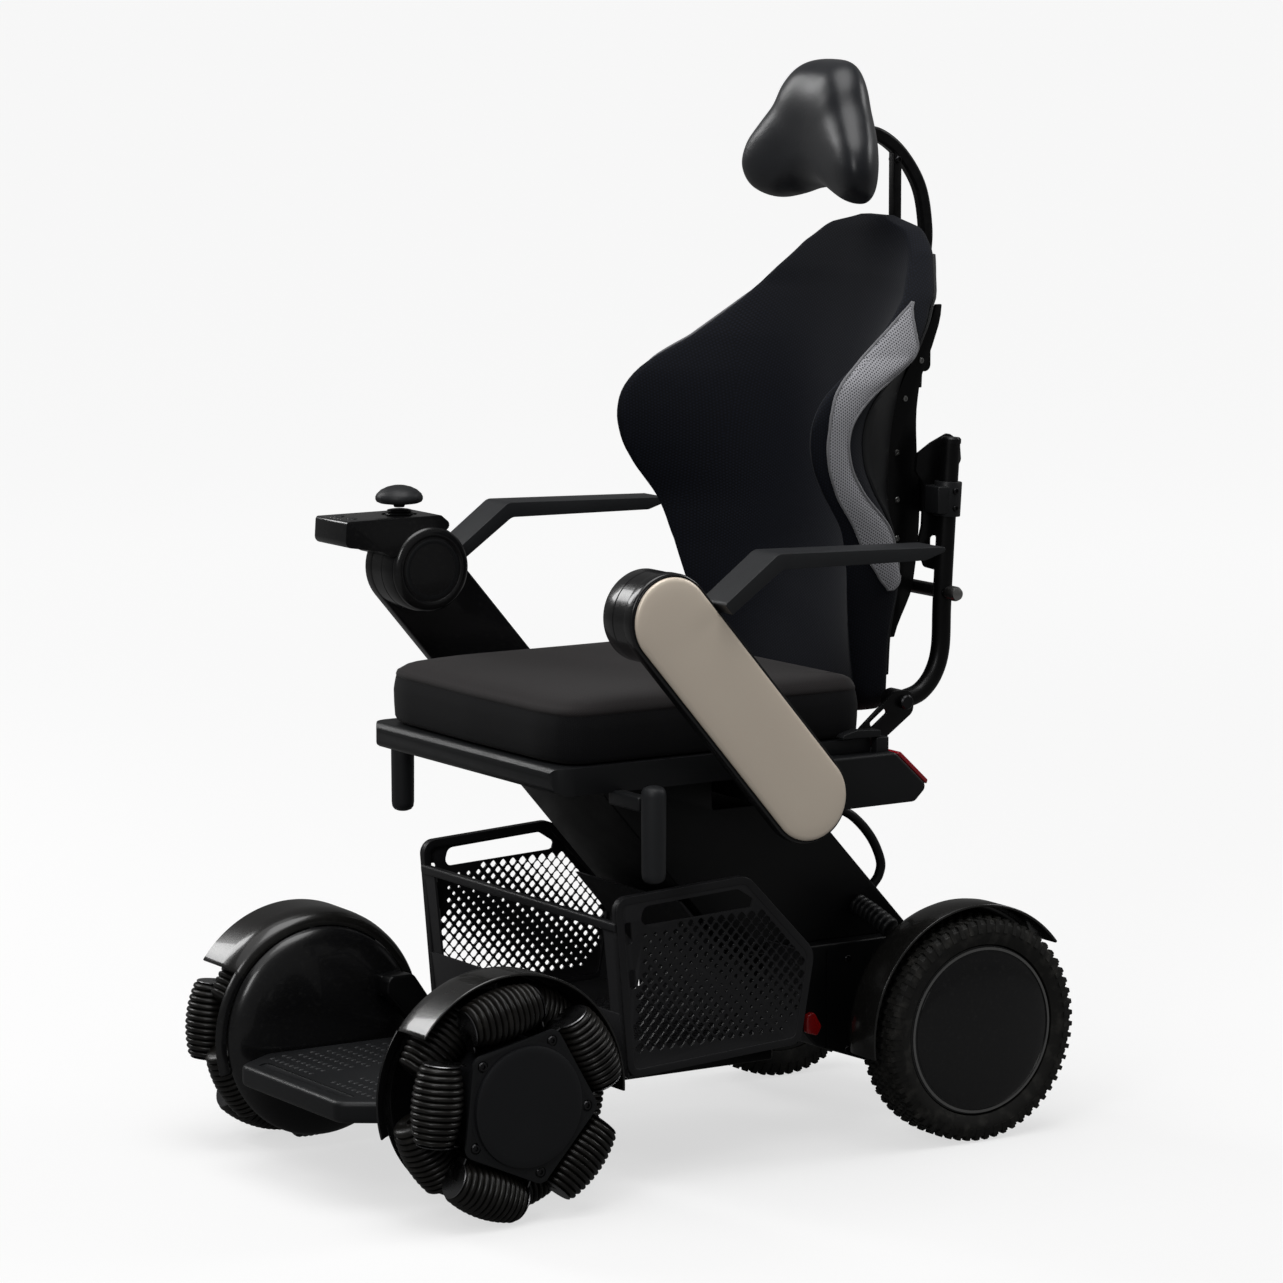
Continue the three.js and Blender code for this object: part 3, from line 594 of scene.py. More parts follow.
def metallic_paint(name, colour):
    """Satin metallic paint with fine flakes under a clear coat."""
    graph = Graph(name, colour, 0.36, 0.12, coat_weight=0.35, coat_roughness=0.22)
    flake = graph.node("ShaderNodeTexVoronoi", {"Vector": graph.place.outputs["Object"], "Scale": 2200})
    grey = graph.node("ShaderNodeSeparateColor", {0: flake.outputs["Color"]}).outputs[0]
    spark = graph.remap(grey, 0, 1)
    cloud = graph.mix(graph.noise(6, 3), tinted(colour, 0.94), tinted(colour, 1.05))
    graph.colour(graph.mix(graph.math("MULTIPLY", spark, 0.16), cloud, tinted(colour, 1.3)))
    graph.roughness(graph.remap(graph.noise(10, 4), 0.3, 0.44))
    graph.bump(grey, 0.03, 0.0002)
    return graph.material


def lamp_plastic(name, colour, roughness=0.12):
    """Clear red plastic with a ribbed back."""
    graph = Graph(name, colour, roughness, coat_weight=0.6, coat_roughness=0.05)
    ribs = graph.node("ShaderNodeTexWave", {"Vector": graph.place.outputs["Object"], "Scale": 90},
                      bands_direction="X").outputs[1]
    graph.colour(graph.mix(graph.math("MULTIPLY", ribs, 0.5), colour, tinted(colour, 0.45)))
    graph.roughness(graph.remap(graph.noise(50, 4), roughness - 0.03, roughness + 0.08))
    graph.bump(ribs, 0.15, 0.0006)
    return graph.material


satin_black = moulded("satin black plastic", (0.0085, 0.009, 0.010), 0.40)
deep_black = moulded("deep black plastic", (0.0035, 0.0037, 0.0042), 0.36, wear=0.2)
disc_black = moulded("hub disc plastic", (0.010, 0.0105, 0.012), 0.46, grain=0.05, wear=0.15)
gloss_black = polished("polished black plastic", (0.006, 0.006, 0.0065), 0.24, coat=0.3)
deep_gloss = polished("piano black plastic", (0.003, 0.003, 0.0034), 0.16, coat=0.3)
fender_black = polished("fender lacquer", (0.0085, 0.0082, 0.0075), 0.24, coat=0.35)
basket_grey = moulded("basket plastic", (0.0150, 0.0150, 0.0165), 0.46, grain=0.16, wear=0.6)
pad_grey = moulded("soft-touch grey", (0.021, 0.0220, 0.0240), 0.44, grain=0.22, wear=0.25)
roller_rubber = rubber("roller rubber", (0.0080, 0.0073, 0.0064), 0.30, grain=0.25, scuff=0.16, scale=520)
tyre_rubber = rubber("tyre rubber", (0.0085, 0.0082, 0.0072), 0.6, grain=0.35, scuff=0.3)
cable_rubber = rubber("cable sheath", (0.006, 0.0065, 0.0075), 0.34, grain=0.08, scuff=0.08)
black_metal = coated_metal("black powder coat", (0.0075, 0.0075, 0.008), 0.30)
satin_steel = bare_metal("satin steel", (0.42, 0.42, 0.41), 0.28)
dark_steel = bare_metal("blackened screw", (0.045, 0.045, 0.047), 0.3)
clip_steel = bare_metal("clip steel", (0.20, 0.20, 0.205), 0.25)
ring_silver = bare_metal("ring lacquer", (0.30, 0.30, 0.295), 0.34)
champagne = metallic_paint("champagne paint", (0.98, 0.83, 0.68))
seat_top = woven("seat cloth", (0.015, 0.0132, 0.0134), (0.034, 0.0300, 0.0300), 1.6, 0.12, 0.92, 0.10)
seat_side = woven("seat side cloth", (0.0035, 0.0035, 0.0042), (0.0090, 0.0090, 0.0105), 2.0, 0.12, 0.9, 0.06)
back_mesh = woven("back mesh", (0.0010, 0.0014, 0.0032), (0.0068, 0.0098, 0.0205), 3.2, 0.30, 0.8, 0.04)
edge_mesh = woven("edge mesh", (0.03, 0.03, 0.034), (0.44, 0.44, 0.47), 3.0, 0.5, 0.8, 0.3, holes=True,
                  blotch=0.1)
edge_piping = woven("edge piping", (0.16, 0.16, 0.17), (0.36, 0.36, 0.38), 1.6, 0.1, 0.85, 0.3)
vinyl = leathery("headrest vinyl", (0.0085, 0.0095, 0.0125), 0.34)
lamp_red = lamp_plastic("lamp red", (0.42, 0.004, 0.014))
lever_red = lamp_plastic("lever red", (0.55, 0.006, 0.008), 0.22)


# ---------------------------------------------------------------- front wheels
ROLLER_HALF, ROLLER_RADIUS = 43.0, 29.0
ROLLER_REACH = WHEEL_RADIUS - ROLLER_RADIUS
INNER_ROW = FRONT_AXLE.x - 43
INNER_FIRST_ANGLE, ROLLER_STEP = 66, 72


def roller_shape(centre, axis, ribs=12, depth=4.6, points=8):
    """A barrel of soft rings: its outline follows the wheel's rim, with a groove between rings."""
    profile = [(5, -ROLLER_HALF)]
    for i in range(ribs * points + 1):
        along = -ROLLER_HALF + 2 * ROLLER_HALF * i / (ribs * points)
        barrel = math.sqrt(WHEEL_RADIUS ** 2 - along ** 2) - ROLLER_REACH
        swell = abs(math.sin(math.pi * i / points)) ** 0.5
        profile.append((barrel - depth * (1 - swell), along))
    profile.append((5, ROLLER_HALF))
    return revolve(profile, centre, axis, 28, loop=True)


def inner_roller_places():
    for i in range(5):
        angle = math.radians(INNER_FIRST_ANGLE + i * ROLLER_STEP)
        centre = Vector((INNER_ROW, FRONT_AXLE.y + ROLLER_REACH * math.cos(angle),
                         FRONT_AXLE.z + ROLLER_REACH * math.sin(angle)))
        yield angle, centre, Vector((0, -math.sin(angle), math.cos(angle)))


def outer_roller_places(side="left"):
    for i in range(1, 6):
        joint = JOINTS[f"roller_{side}_{i}_spin"]
        yield f"roller_{side}_{i}", Vector(joint["pos_m"]) / MM, Vector(joint["axis"])


def hub_shape():
    profile = [(0, 286.2), (30, 286.1), (58, 285.8), (65.0, 285.2), (67.2, 284.2), (67.8, 282.6), (67.8, 280.6),
               (72, 280.6), (72, 196), (60, 190), (0, 190)]
    return revolve(profile, FRONT_MIDDLE, segments=96)


def hub_plate_shape():
    corners = []
    for angle, _, _ in inner_roller_places():
        corners.append((FRONT_AXLE.y + 92 * math.cos(angle), FRONT_AXLE.z + 92 * math.sin(angle)))
    plate = prism(filleted(corners, 13, 8), 277.0, 280.4)
    pockets = [rod(6.6, 278.8, 290, (0, *centre), segments=24) for centre in screw_places()]
    return bevelled(cut(plate, total(pockets)), 0.7, 2)


def screw_places():
    for angle, _, _ in inner_roller_places():
        yield FRONT_AXLE.y + 76.5 * math.cos(angle), FRONT_AXLE.z + 76.5 * math.sin(angle)


def hub_screws_shape():
    return total(hex_screw((278.6, *centre), X, 5.4, 2.8) for centre in screw_places())


def clips_shape():
    """Bowed plates at the ends of each outer roller, and the pin through it."""
    parts = []
    for _, centre, axis in outer_roller_places():
        outward = (centre - FRONT_AXLE).normalized()
        parts.append(rod(3.6, -45, 45, centre, axis, 16))
        for end in (-1, 1):
            middle = centre + axis * end * (ROLLER_HALF + 1.5) - outward * 2
            lug = [(0, -0.8), (20.4, -0.8), (21.4, 0), (20.4, 0.8), (0, 0.8)]
            parts.append(revolve(lug, middle, axis, 40))
            parts.append(plate_between(middle, middle - outward * 26, axis, 16, 1.6))
    return total(parts)


def plate_between(start, end, normal, width, thickness):
    """A flat strip from one point to another, facing along a normal."""
    along = (end - start).normalized()
    side = along.cross(normal).normalized() * width / 2
    lift = normal.normalized() * thickness / 2
    corners = [p + s * side + t * lift for p in (start, end) for s, t in ((-1, -1), (1, -1), (1, 1), (-1, 1))]
    return capped(corners, 4)


def build_front_wheels():
    for side in SIDES:
        for node, centre, axis in outer_roller_places(side):
            stand_in(f"{node}_rings", roller_shape(centre, axis), roller_rubber, node, smooth=60)
    inner = total(roller_shape(centre, axis) for _, centre, axis in inner_roller_places())
    ring = revolve([(74.5, 203), (83, 203), (83, 217), (74.5, 217)], FRONT_MIDDLE, loop=True)
    stand_in_pair("inner_roller_rings", inner + ring, roller_rubber, "inner_rollers", smooth=60)
    stand_in_pair("hub_disc", hub_shape(), disc_black, "front_hub")
    detail_pair("hub_plate", hub_plate_shape(), satin_black, "front_hub")
    detail_pair("hub_screws", hub_screws_shape(), dark_steel, "front_hub")
    detail_pair("roller_clips", clips_shape(), clip_steel, "front_hub")


# ---------------------------------------------------------------- front covers and frame
def front_fender_shape():
    """A glossy strip over the tread with a rounded inner shoulder, and the narrow lip past its ends."""
    shoulder = [(142.4, 212), (141.8, 203), (139.8, 194), (136, 186.5), (131, 182), (124, 180.6)]
    under = [(124, 184), (130, 185), (134, 188.4), (137.2, 196), (138.8, 205), (139.2, 212)]
    section = [(143, 252.5), *shoulder, *under, (139.8, 252.5), (140.6, 253.4), (142.2, 253.4)]
    edge = [(136.5, 185), (131, 181.6), (124, 180.6), (124, 183.6), (130, 184.6), (135, 187)]
    tread = revolve(section, FRONT_MIDDLE, segments=72, arc=(36, 182))
    lip = revolve(edge, FRONT_MIDDLE, segments=40, arc=(-17, 36.4))
    lip += revolve(edge, FRONT_MIDDLE, segments=6, arc=(181.6, 197))
    return bevelled(tread, 0.8, 2, 50), bevelled(lip, 0.8, 2, 50)


def dome_shape():
    """A dished cover that bulges inboard. The link arm passes in at its rear."""
    def reach(radius):
        return 154 + 27 * (1 - math.sqrt(1 - min(radius / 123, 1) ** 2.4))

    rings = [0, 20, 40, 58, 74, 88, 100, 108, 113, 117, 120, 122]
    profile = [(r, reach(r)) for r in rings] + [(123, 181), (120, 181)]
    profile += [(r, reach(r) + 3) for r in reversed(rings[:-3])]
    return revolve(profile, FRONT_MIDDLE, segments=96)


def front_frame_shape():
    cross = prism(filleted([(-222, 100), (-222, 138), (-184, 142), (-178, 100)], 8), -148, 148)
    spine = block(-50, 50, -190, 160, 84, 112)
    tongue = block(-60, 60, -350, -180, 84, 97.4)
    link = [(-184, 112), (-186, 146), (-222, 198), (-256, 198), (-258, 178), (-222, 138)]
    neck = block(146, 172, -256, -222, 172, 196)
    knuckle = [(-226, 196), (-256, 196), (-346, 146), (-346, 112), (-300, 104), (-226, 168)]
    stub = rod(8, 172, 262, FRONT_MIDDLE)
    rounded_off = [bevelled(part, 2.5) for part in (cross, spine, tongue)]
    arm = total([plate(link, 9, 128, 150, 3), bevelled(neck, 2), plate(knuckle, 12, 169, 177, 1.5), stub])
    return total(rounded_off) + both_sides(arm)


def footplate_shapes():
    """The plate with its rounded nose, the long recess along its front, and two groups of grip dots."""
    outline = [(-148, -226), (-148, -408), (-112, -461), (112, -461), (148, -408), (148, -226)]
    slab = bevelled(prism(filleted(outline, [6, 24, 20, 20, 24, 6]), 98, 123, "z"), 9, 6)
    recess = plate([(-96, -446), (96, -446), (104, -430), (-104, -430)], 5, 121.4, 128, 1, 2, "z")
    pins = []
    for row in range(10):
        for column in range(9):
            for side in (-1, 1):
                x = side * (26 + column * 11.4 + (5.7 if row % 2 else 0))
                y = -416 + row * 18.5
                if abs(x) < 124:
                    pins.append(dash_shape(x, y))
    return cut(slab, recess), total(pins)


def dash_shape(x, y, long=8.0, wide=3.2, low=122.6, high=123.9):
    """A low rounded dash that stands on the footplate, with its long side along Y."""
    rim = stadium((y + long / 2 - wide / 2, x), (y - long / 2 + wide / 2, x), wide / 2, 5)
    count = len(rim)
    top = [((a - y) * 0.7 + y, (b - x) * 0.6 + x) for a, b in rim]
    corners = [(b, a, low) for a, b in rim] + [(b, a, high) for a, b in top]
    faces = [list(range(count, 2 * count))]
    faces += [(i, (i + 1) % count, (i + 1) % count + count, i + count) for i in range(count)]
    faces.append(list(range(count))[::-1])
    return Shape(corners, faces)


def build_front_end():
    tread, lip = front_fender_shape()
    stand_in_pair("fender_strip", tread, fender_black, "front_fender", smooth=40)
    detail_pair("fender_flange", lip, gloss_black, "front_fender", smooth=40)
    stand_in_pair("wheel_dome", dome_shape(), gloss_black, "wheel_cover", smooth=45)
    stand_in("front_chassis", front_frame_shape(), black_metal, "front_frame")
    slab, grip = footplate_shapes()
    stand_in("footplate_tray", slab, satin_black, "footplate")
    detail("footplate_grip", grip, pad_grey, "footplate", smooth=60)


# ---------------------------------------------------------------- rear wheels and drive
def tyre_shape():
    profile = [(100, 174), (108, 172), (118, 171.5), (125, 174), (128.6, 179), (129.6, 187), (129.8, 203.5),
               (129.6, 220), (128.6, 228), (125, 233.4), (118, 235.6), (108, 234), (101, 231)]
    carcass = revolve(profile, REAR_MIDDLE, segments=120, loop=True)
    lugs = []
    rows = [(203.5, 0.0, 129.2, 132.4, 7.0, 3.3), (193.5, 0.5, 129, 132.4, 7.0, 3.3),
            (213.5, 0.5, 129, 132.4, 7.0, 3.3), (184.0, 0.0, 128, 131.8, 6.0, 3.2),
            (223.0, 0.0, 128, 131.8, 6.0, 3.2)]
    count = 60
    for x, shift, low, high, wide, tall in rows:
        for i in range(count):
            lugs.append(lug_shape(x, 2 * math.pi * (i + shift) / count, low, high, wide, tall))
    for x, lean in ((177.0, -1), (230.0, 1)):
        for i in range(count):
            angle = 2 * math.pi * (i + 0.5) / count
            lugs.append(lug_shape(x + lean * 2.2, angle, 116, 130.4, 7.5, 3.6, lean * 3.4))
    return carcass + total(lugs)


def lug_shape(x, angle, low, high, wide, tall, splay=0.0):
    """A tread block on the rear tyre: its foot at a low radius and its face at a high one."""
    out = -Y * math.cos(angle) + Z * math.sin(angle)
    along = Y * math.sin(angle) + Z * math.cos(angle)
    corners = []
    for radius, grow, shift in ((low, 1.15, 0), (high, 1.0, -splay)):
        for a, b in ((-1, -1), (1, -1), (1, 1), (-1, 1)):
            across_tread = X * (x + shift + a * wide / 2 * grow)
            round_tyre = along * (b * tall / 2 * grow * 1.4)
            corners.append(Vector(REAR_MIDDLE) + out * radius + across_tread + round_tyre)
    return capped(corners, 4)


def build_rear_wheels():
    axle = REAR_MIDDLE
    stand_in_pair("tyre", tyre_shape(), tyre_rubber, "rear_tyre", smooth=30)
    rim = revolve([(0, 176), (99.4, 176), (99.4, 229.4), (97, 230.6), (0, 230.6)], axle, segments=96)
    stand_in_pair("rim", rim, deep_gloss, "rear_rim")
    ring = revolve([(94.6, 230.4), (97.6, 230.4), (97.6, 231.4), (94.6, 231.6)], axle, segments=128, loop=True)
    detail_pair("rim_ring", ring, ring_silver, "rear_rim")
    cap = revolve([(0, 238), (22, 237.7), (45, 236.7), (66, 235.2), (80, 233.6), (88, 232.3), (91.5, 231.2),
                   (91.5, 230), (0, 230)], axle, segments=128)
    detail_pair("hub_cap", cap, deep_gloss, "rear_rim", smooth=45)
    fender = [(147, 222.4), (147, 182), (146, 175), (143.5, 168.5), (139, 164), (133, 161), (124, 160),
              (120, 160), (120, 162.5), (124, 163), (131.5, 164), (137, 167), (141, 171.5), (143, 177),
              (143.6, 183), (143.6, 222.4), (144.4, 223.4), (146.2, 223.4)]
    strip = revolve(fender, axle, segments=90, arc=(-8, 141.5))
    stand_in_pair("rear_fender_strip", bevelled(strip, 0.8, 2, 50), fender_black, "rear_fender", smooth=40)
    motor = revolve([(0, 125.6), (61, 125.6), (62, 127), (62, 148), (60, 152), (54, 157.4), (24, 157.8),
                     (22, 160), (11.5, 160), (11.5, 199), (0, 199)], axle, segments=72)
    stand_in_pair("motor_can", motor, black_metal, "drive_motor")
    blade = plate([(151, 132), (166, 127), (172, 138), (161, 156), (151, 152)], 4, 125.6, 134, 1.5)
    stand_in_pair("free_wheel_lever", blade, lever_red, "brake_lever")


def build_motor_cables():
    """A ribbed conduit from the beam to the motor."""
    path = smooth_path([(106, 238.5, 272), (130, 245, 262), (158.5, 251.5, 248.5)], 60)
    ribs = 8
    swell = lambda t: 0.82 + 0.18 * abs(math.sin(math.pi * ribs * t)) ** 0.6
    stand_in_pair("motor_conduit", sweep(path, circle(12.6, 24), swell), cable_rubber, "motor_cable", smooth=60)


# ---------------------------------------------------------------- the body
BEAM_HALF, HOUSING_HALF = 105, 125


def beam_front(z):
    return -114 + (438 - z) * 0.87


def beam_rear(z):
    return 220 + (341 - z) * 0.908


def build_body():
    split = 232
    low = split + 0.4
    outline = [(beam_front(446), 446), (beam_front(low), low), (beam_rear(low), low), (beam_rear(402), 402),
               (38, 402), (38, 446)]
    stand_in("beam", plate(outline, [10, 6, 6, 24, 4, 4], -BEAM_HALF, BEAM_HALF, 11, 5), deep_black, "main_beam")
    seam = [(beam_front(300) + 26, 300), (beam_front(280) + 26, 280), (beam_rear(280) - 26, 280),
            (beam_rear(300) - 26, 300)]
    panel = plate(seam, 6, BEAM_HALF - 2, BEAM_HALF - 0.2, 0.8, 2)
    detail("beam_panels", both_sides(panel), satin_black, "main_beam")
    outline = [(beam_front(split), split), (beam_front(113), 113), (262, 80), (335, 74), (395, 90), (404, 150),
               (386, 205), (beam_rear(split), split)]
    housing = plate(outline, [4, 22, 22, 30, 30, 40, 24, 4], -HOUSING_HALF, HOUSING_HALF, 12, 5)
    groove = [(182, 96), (182, 225), (184.5, 225), (184.5, 96)]
    grooves = prism(groove, -140, -HOUSING_HALF + 1.2) + prism(groove, HOUSING_HALF - 1.2, 140)
    stand_in("base", cut(housing, grooves), deep_black, "base_housing")
    pack = plate([(404.6, 96), (434, 100), (440, 120), (436, 190), (404.6, 198)], 8, -88, 88, 3)
    grip = bevelled(block(-34, 34, 432, 446, 150, 172), 3)
    stand_in("battery", cut(pack, grip), satin_black, "battery_pack")
    screws = [hex_screw((HOUSING_HALF - 0.4, y, z), X, 4.2, 2.4)
              for y, z in ((214, 104), (214, 212), (372, 120), (366, 206))]
    detail("base_screws", both_sides(total(screws)), dark_steel, "base_housing")


# ---------------------------------------------------------------- basket
BASKET_HALF, BASKET_WALL = 216, 3
PANEL = [(-164, 336), (-146, 130), (86, 143), (105, 249), (13, 345)]
HANDLE = [(-132, 302), (-126, 324), (0, 331), (34, 309)]
PERFORATED = [(-131, 299), (-138, 156), (60, 162), (93, 195), (94, 248), (35, 306)]


def inside(point, outline):
    """Whether a point lies inside an outline."""
    x, y = point
    crossed = [(y0 > y) != (y1 > y) and x < (x1 - x0) * (y - y0) / (y1 - y0) + x0
               for (x0, y0), (x1, y1) in zip(outline, outline[1:] + outline[:1])]
    return sum(crossed) % 2 == 1


def edge_distance(point, outline):
    """How far a point is from an outline's nearest edge."""
    best = 1e9
    p = Vector(point)
    for a, b in zip(outline, outline[1:] + outline[:1]):
        a, b = Vector(a), Vector(b)
        t = max(0, min(1, (p - a).dot(b - a) / (b - a).length_squared))
        best = min(best, (p - a.lerp(b, t)).length)
    return best


def hole_cutters(region, pitch, rise, size, low, high, along, corners=8):
    """Clipped diamonds on a staggered lattice, as one set of cutters. size gives each one's reach."""
    left, right = min(p[0] for p in region), max(p[0] for p in region)
    bottom, top = min(p[1] for p in region), max(p[1] for p in region)
    cutters = []
    for j in range(int((top - bottom) / rise) + 1):
        for i in range(int((right - left) / pitch) + 1):
            a = left + (i + (0.5 if j % 2 else 0)) * pitch
            b = bottom + j * rise
            reach = size((a - left) / (right - left), (b - bottom) / (top - bottom))
            if not inside((a, b), region) or edge_distance((a, b), region) < reach * 0.6:
                continue
            outline = []
            for k in range(corners):
                turn = 2 * math.pi * k / corners
                spread = reach if k % 2 == 0 else reach * 0.84
                outline.append((a + spread * math.cos(turn), b + spread * math.sin(turn)))
            cutters.append(prism(outline, low, high, along))
    return total(cutters)


def side_holes(u, v):
    """Small holes in a band from the top front to the bottom rear, and large ones to either side of it."""
    away = abs(u * 0.95 + v - 0.92)
    return 1.9 + 4.1 * min(away / 0.55, 1) ** 0.9


def basket_side_shape():
    outer = filleted(PANEL, [16, 16, 16, 26, 24])
    sheet = prism(outer, BASKET_HALF - BASKET_WALL, BASKET_HALF - 0.3)
    window = filleted(HANDLE, [9, 9, 12, 9], 5)
    holes = hole_cutters(PERFORATED, 13.6, 7.5, side_holes, 205, 225, "x")
    slots = []
    for low, high in ((283, 308), (231, 254), (172, 192)):
        lean = lambda z: (300 - z) * 0.102
        slot = [(-151 + lean(low), low), (-151 + lean(high), high), (-142 + lean(high), high),
                (-142 + lean(low), low)]
        slots.append(prism(filleted(slot, 3, 3), 205, 225))
    sheet = cut(sheet, prism(window, 205, 225))
    return cut(cut(sheet, holes), total(slots))


def basket_rim_shape():
    outer = filleted(PANEL, [16, 16, 16, 26, 24])
    rim = cut(prism(outer, BASKET_HALF - 10, BASKET_HALF + 0.4), prism(inset(outer, 9), 200, 230))
    return bevelled(rim, 3.4, 4, 50)


def basket_tub_shape():
    """The floor with its drain holes, the front lip and the rail above it, and the wall at the beam."""
    half = BASKET_HALF - BASKET_WALL
    floor = prism([(-145, 130), (84, 143.4), (84, 146.8), (-141.6, 133.2)], -half, half)
    front = prism([(-145, 130), (-152.4, 203), (-148.8, 203), (-141.6, 133.2)], -half, half)
    rear = prism([(84, 143.4), (80, 200), (-8, 300), (-12, 300), (74, 200), (78, 146.5)], -112, 112)
    bay = prism([(84, 143.4), (102.5, 246), (98.5, 246), (80, 143.4)], 127, half)
    stile = prism([(-150.5, 198), (-161, 300), (-158, 300), (-147.5, 198)], 186, half)
    drains = [(-128, -122), (-128, 122), (70, 122), (70, -122)]
    holes = hole_cutters([(b, a) for a, b in drains], 15, 8, lambda u, v: 4.2, 110, 170, "z")
    rail = plate([(-163, 297), (-164, 308), (-154, 308), (-153, 297)], 3, -half, half, 1.5)
    return cut(floor, holes) + bevelled(front, 1, 2) + rear + rail + both_sides(bay + stile)


def build_basket():
    stand_in("basket_panels", both_sides(basket_side_shape()), basket_grey, "basket", smooth=25)
    detail("basket_rims", both_sides(basket_rim_shape()), basket_grey, "basket")
    detail("basket_tub", basket_tub_shape(), basket_grey, "basket", smooth=25)


# ---------------------------------------------------------------- seat
def tray_shape():
    side = [(-236, 478), (-231, 460), (-222, 455), (58, 455), (58, 470.4), (186, 470.4), (186, 486), (-230, 486)]
    plan = [(-208, 190), (-208, -236), (208, -236), (208, 190)]
    slab = prism(filleted(side, [7, 7, 6, 3, 2, 2, 3, 7]), -230, 230)
    plate = cut(slab, prism(filleted(plan, [3, 26, 26, 3], 10), 430, 500, "z"), "INTERSECT")
    rail = block(70, 95, -105, 34, 446.6, 456)
    lug = revolve([(0, 200), (22, 200), (24, 202), (24, 273), (22.5, 274.6), (0, 274.6)],
                  (0, ARM_PIVOT.y, ARM_PIVOT.z), segments=48)
    post_arm = block(198, 260.6, -162, -146, 440, 457)
    return bevelled(plate, 3.6, 4, 40) + both_sides(bevelled(rail, 1) + lug + bevelled(post_arm, 3))


def cushion_plan(count=160):
    """The seat cushion's outline in plan, as points spread evenly round it."""
    lo, hi = (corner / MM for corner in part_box("seat_cushion"))
    front = lo.y - 8
    outline = [(lo.x, hi.y), (lo.x, front + 14), (-150, front + 3), (0, front), (150, front + 3),
               (hi.x, front + 14), (hi.x, hi.y)]
    rounded_plan = filleted(outline, [26, 34, 160, 600, 160, 34, 26], 12)
    return spread(rounded_plan, count)


def spread(outline, count):
    """Points spaced evenly along a closed outline."""
    points = [Vector(p) for p in outline]
    points.append(points[0])
    lengths = [0]
    for a, b in zip(points, points[1:]):
        lengths.append(lengths[-1] + (b - a).length)
    result, k = [], 0
    for i in range(count):
        target = lengths[-1] * i / count
        while lengths[k + 1] < target:
            k += 1
        share = (target - lengths[k]) / max(lengths[k + 1] - lengths[k], 1e-9)
        result.append(points[k].lerp(points[k + 1], share))
    return result


def ring_stack(plan, rings, centre):
    """Rings of a plan outline, each (inset in mm, share of the way in, height), closed at both ends."""
    corners = []
    count = len(plan)
    for inset_by, share, height in rings:
        moved = inset(plan, inset_by) if inset_by else plan
        for p in moved:
            q = Vector(p).lerp(Vector(centre), share)
            corners.append((q.x, q.y, height(q) if callable(height) else height))
    faces = wall_faces(count, len(rings))
    for end in (0, len(rings) - 1):
        height = rings[end][2]
        tip = (centre[0], centre[1], height(Vector(centre)) if callable(height) else height)
        corners.append(tip)
        faces += [(end * count + i, end * count + (i + 1) % count, len(corners) - 1) for i in range(count)]
    return Shape(corners, faces)


def build_seat():
    stand_in("tray", tray_shape(), satin_black, "seat_tray")
    lo, hi = (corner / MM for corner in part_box("seat_cushion"))
    plan = cushion_plan()
    centre = (0, -45)
    seam = hi.z - 21

    def crown(p):
        """The top dips a little in the middle and towards the front edge."""
        forward = max(0.0, (-110 - p.y) / 108)
        dish = 3.0 * math.exp(-((p.x / 120) ** 2) - ((p.y - 20) / 150) ** 2)
        return hi.z - 1.0 - dish - 4.5 * forward ** 1.8

    sides = [(9, 0, lo.z), (3.5, 0, lo.z + 1.5), (0.8, 0, lo.z + 7), (-0.2, 0, lo.z + 22), (-0.6, 0, lo.z + 38),
             (0.4, 0, seam - 9), (1.6, 0, seam - 3), (2.4, 0, seam)]
    top = [(2.4, 0, seam), (2.0, 0, seam + 2.5), (3.6, 0, seam + 6)]
    top += [(7.5, 0, lambda p: crown(p) - 8.4), (14, 0, lambda p: crown(p) - 4.9),
            (23, 0, lambda p: crown(p) - 2.4)]
    top += [(32, 0, lambda p: crown(p) - 1.1), (32, 0.1, lambda p: crown(p) - 0.4)]
    top += [(32, share, crown) for share in (0.22, 0.36, 0.5, 0.65, 0.8)]
    side_shape = ring_stack(plan, sides, centre)
    top_shape = ring_stack(plan, [(10, 0, seam - 4), *top], centre)
    lower = stand_in("cushion_sides", side_shape, seat_side, "seat_cushion", smooth=60)
    upper = detail("cushion_top", top_shape, seat_top, "seat_cushion", smooth=60)


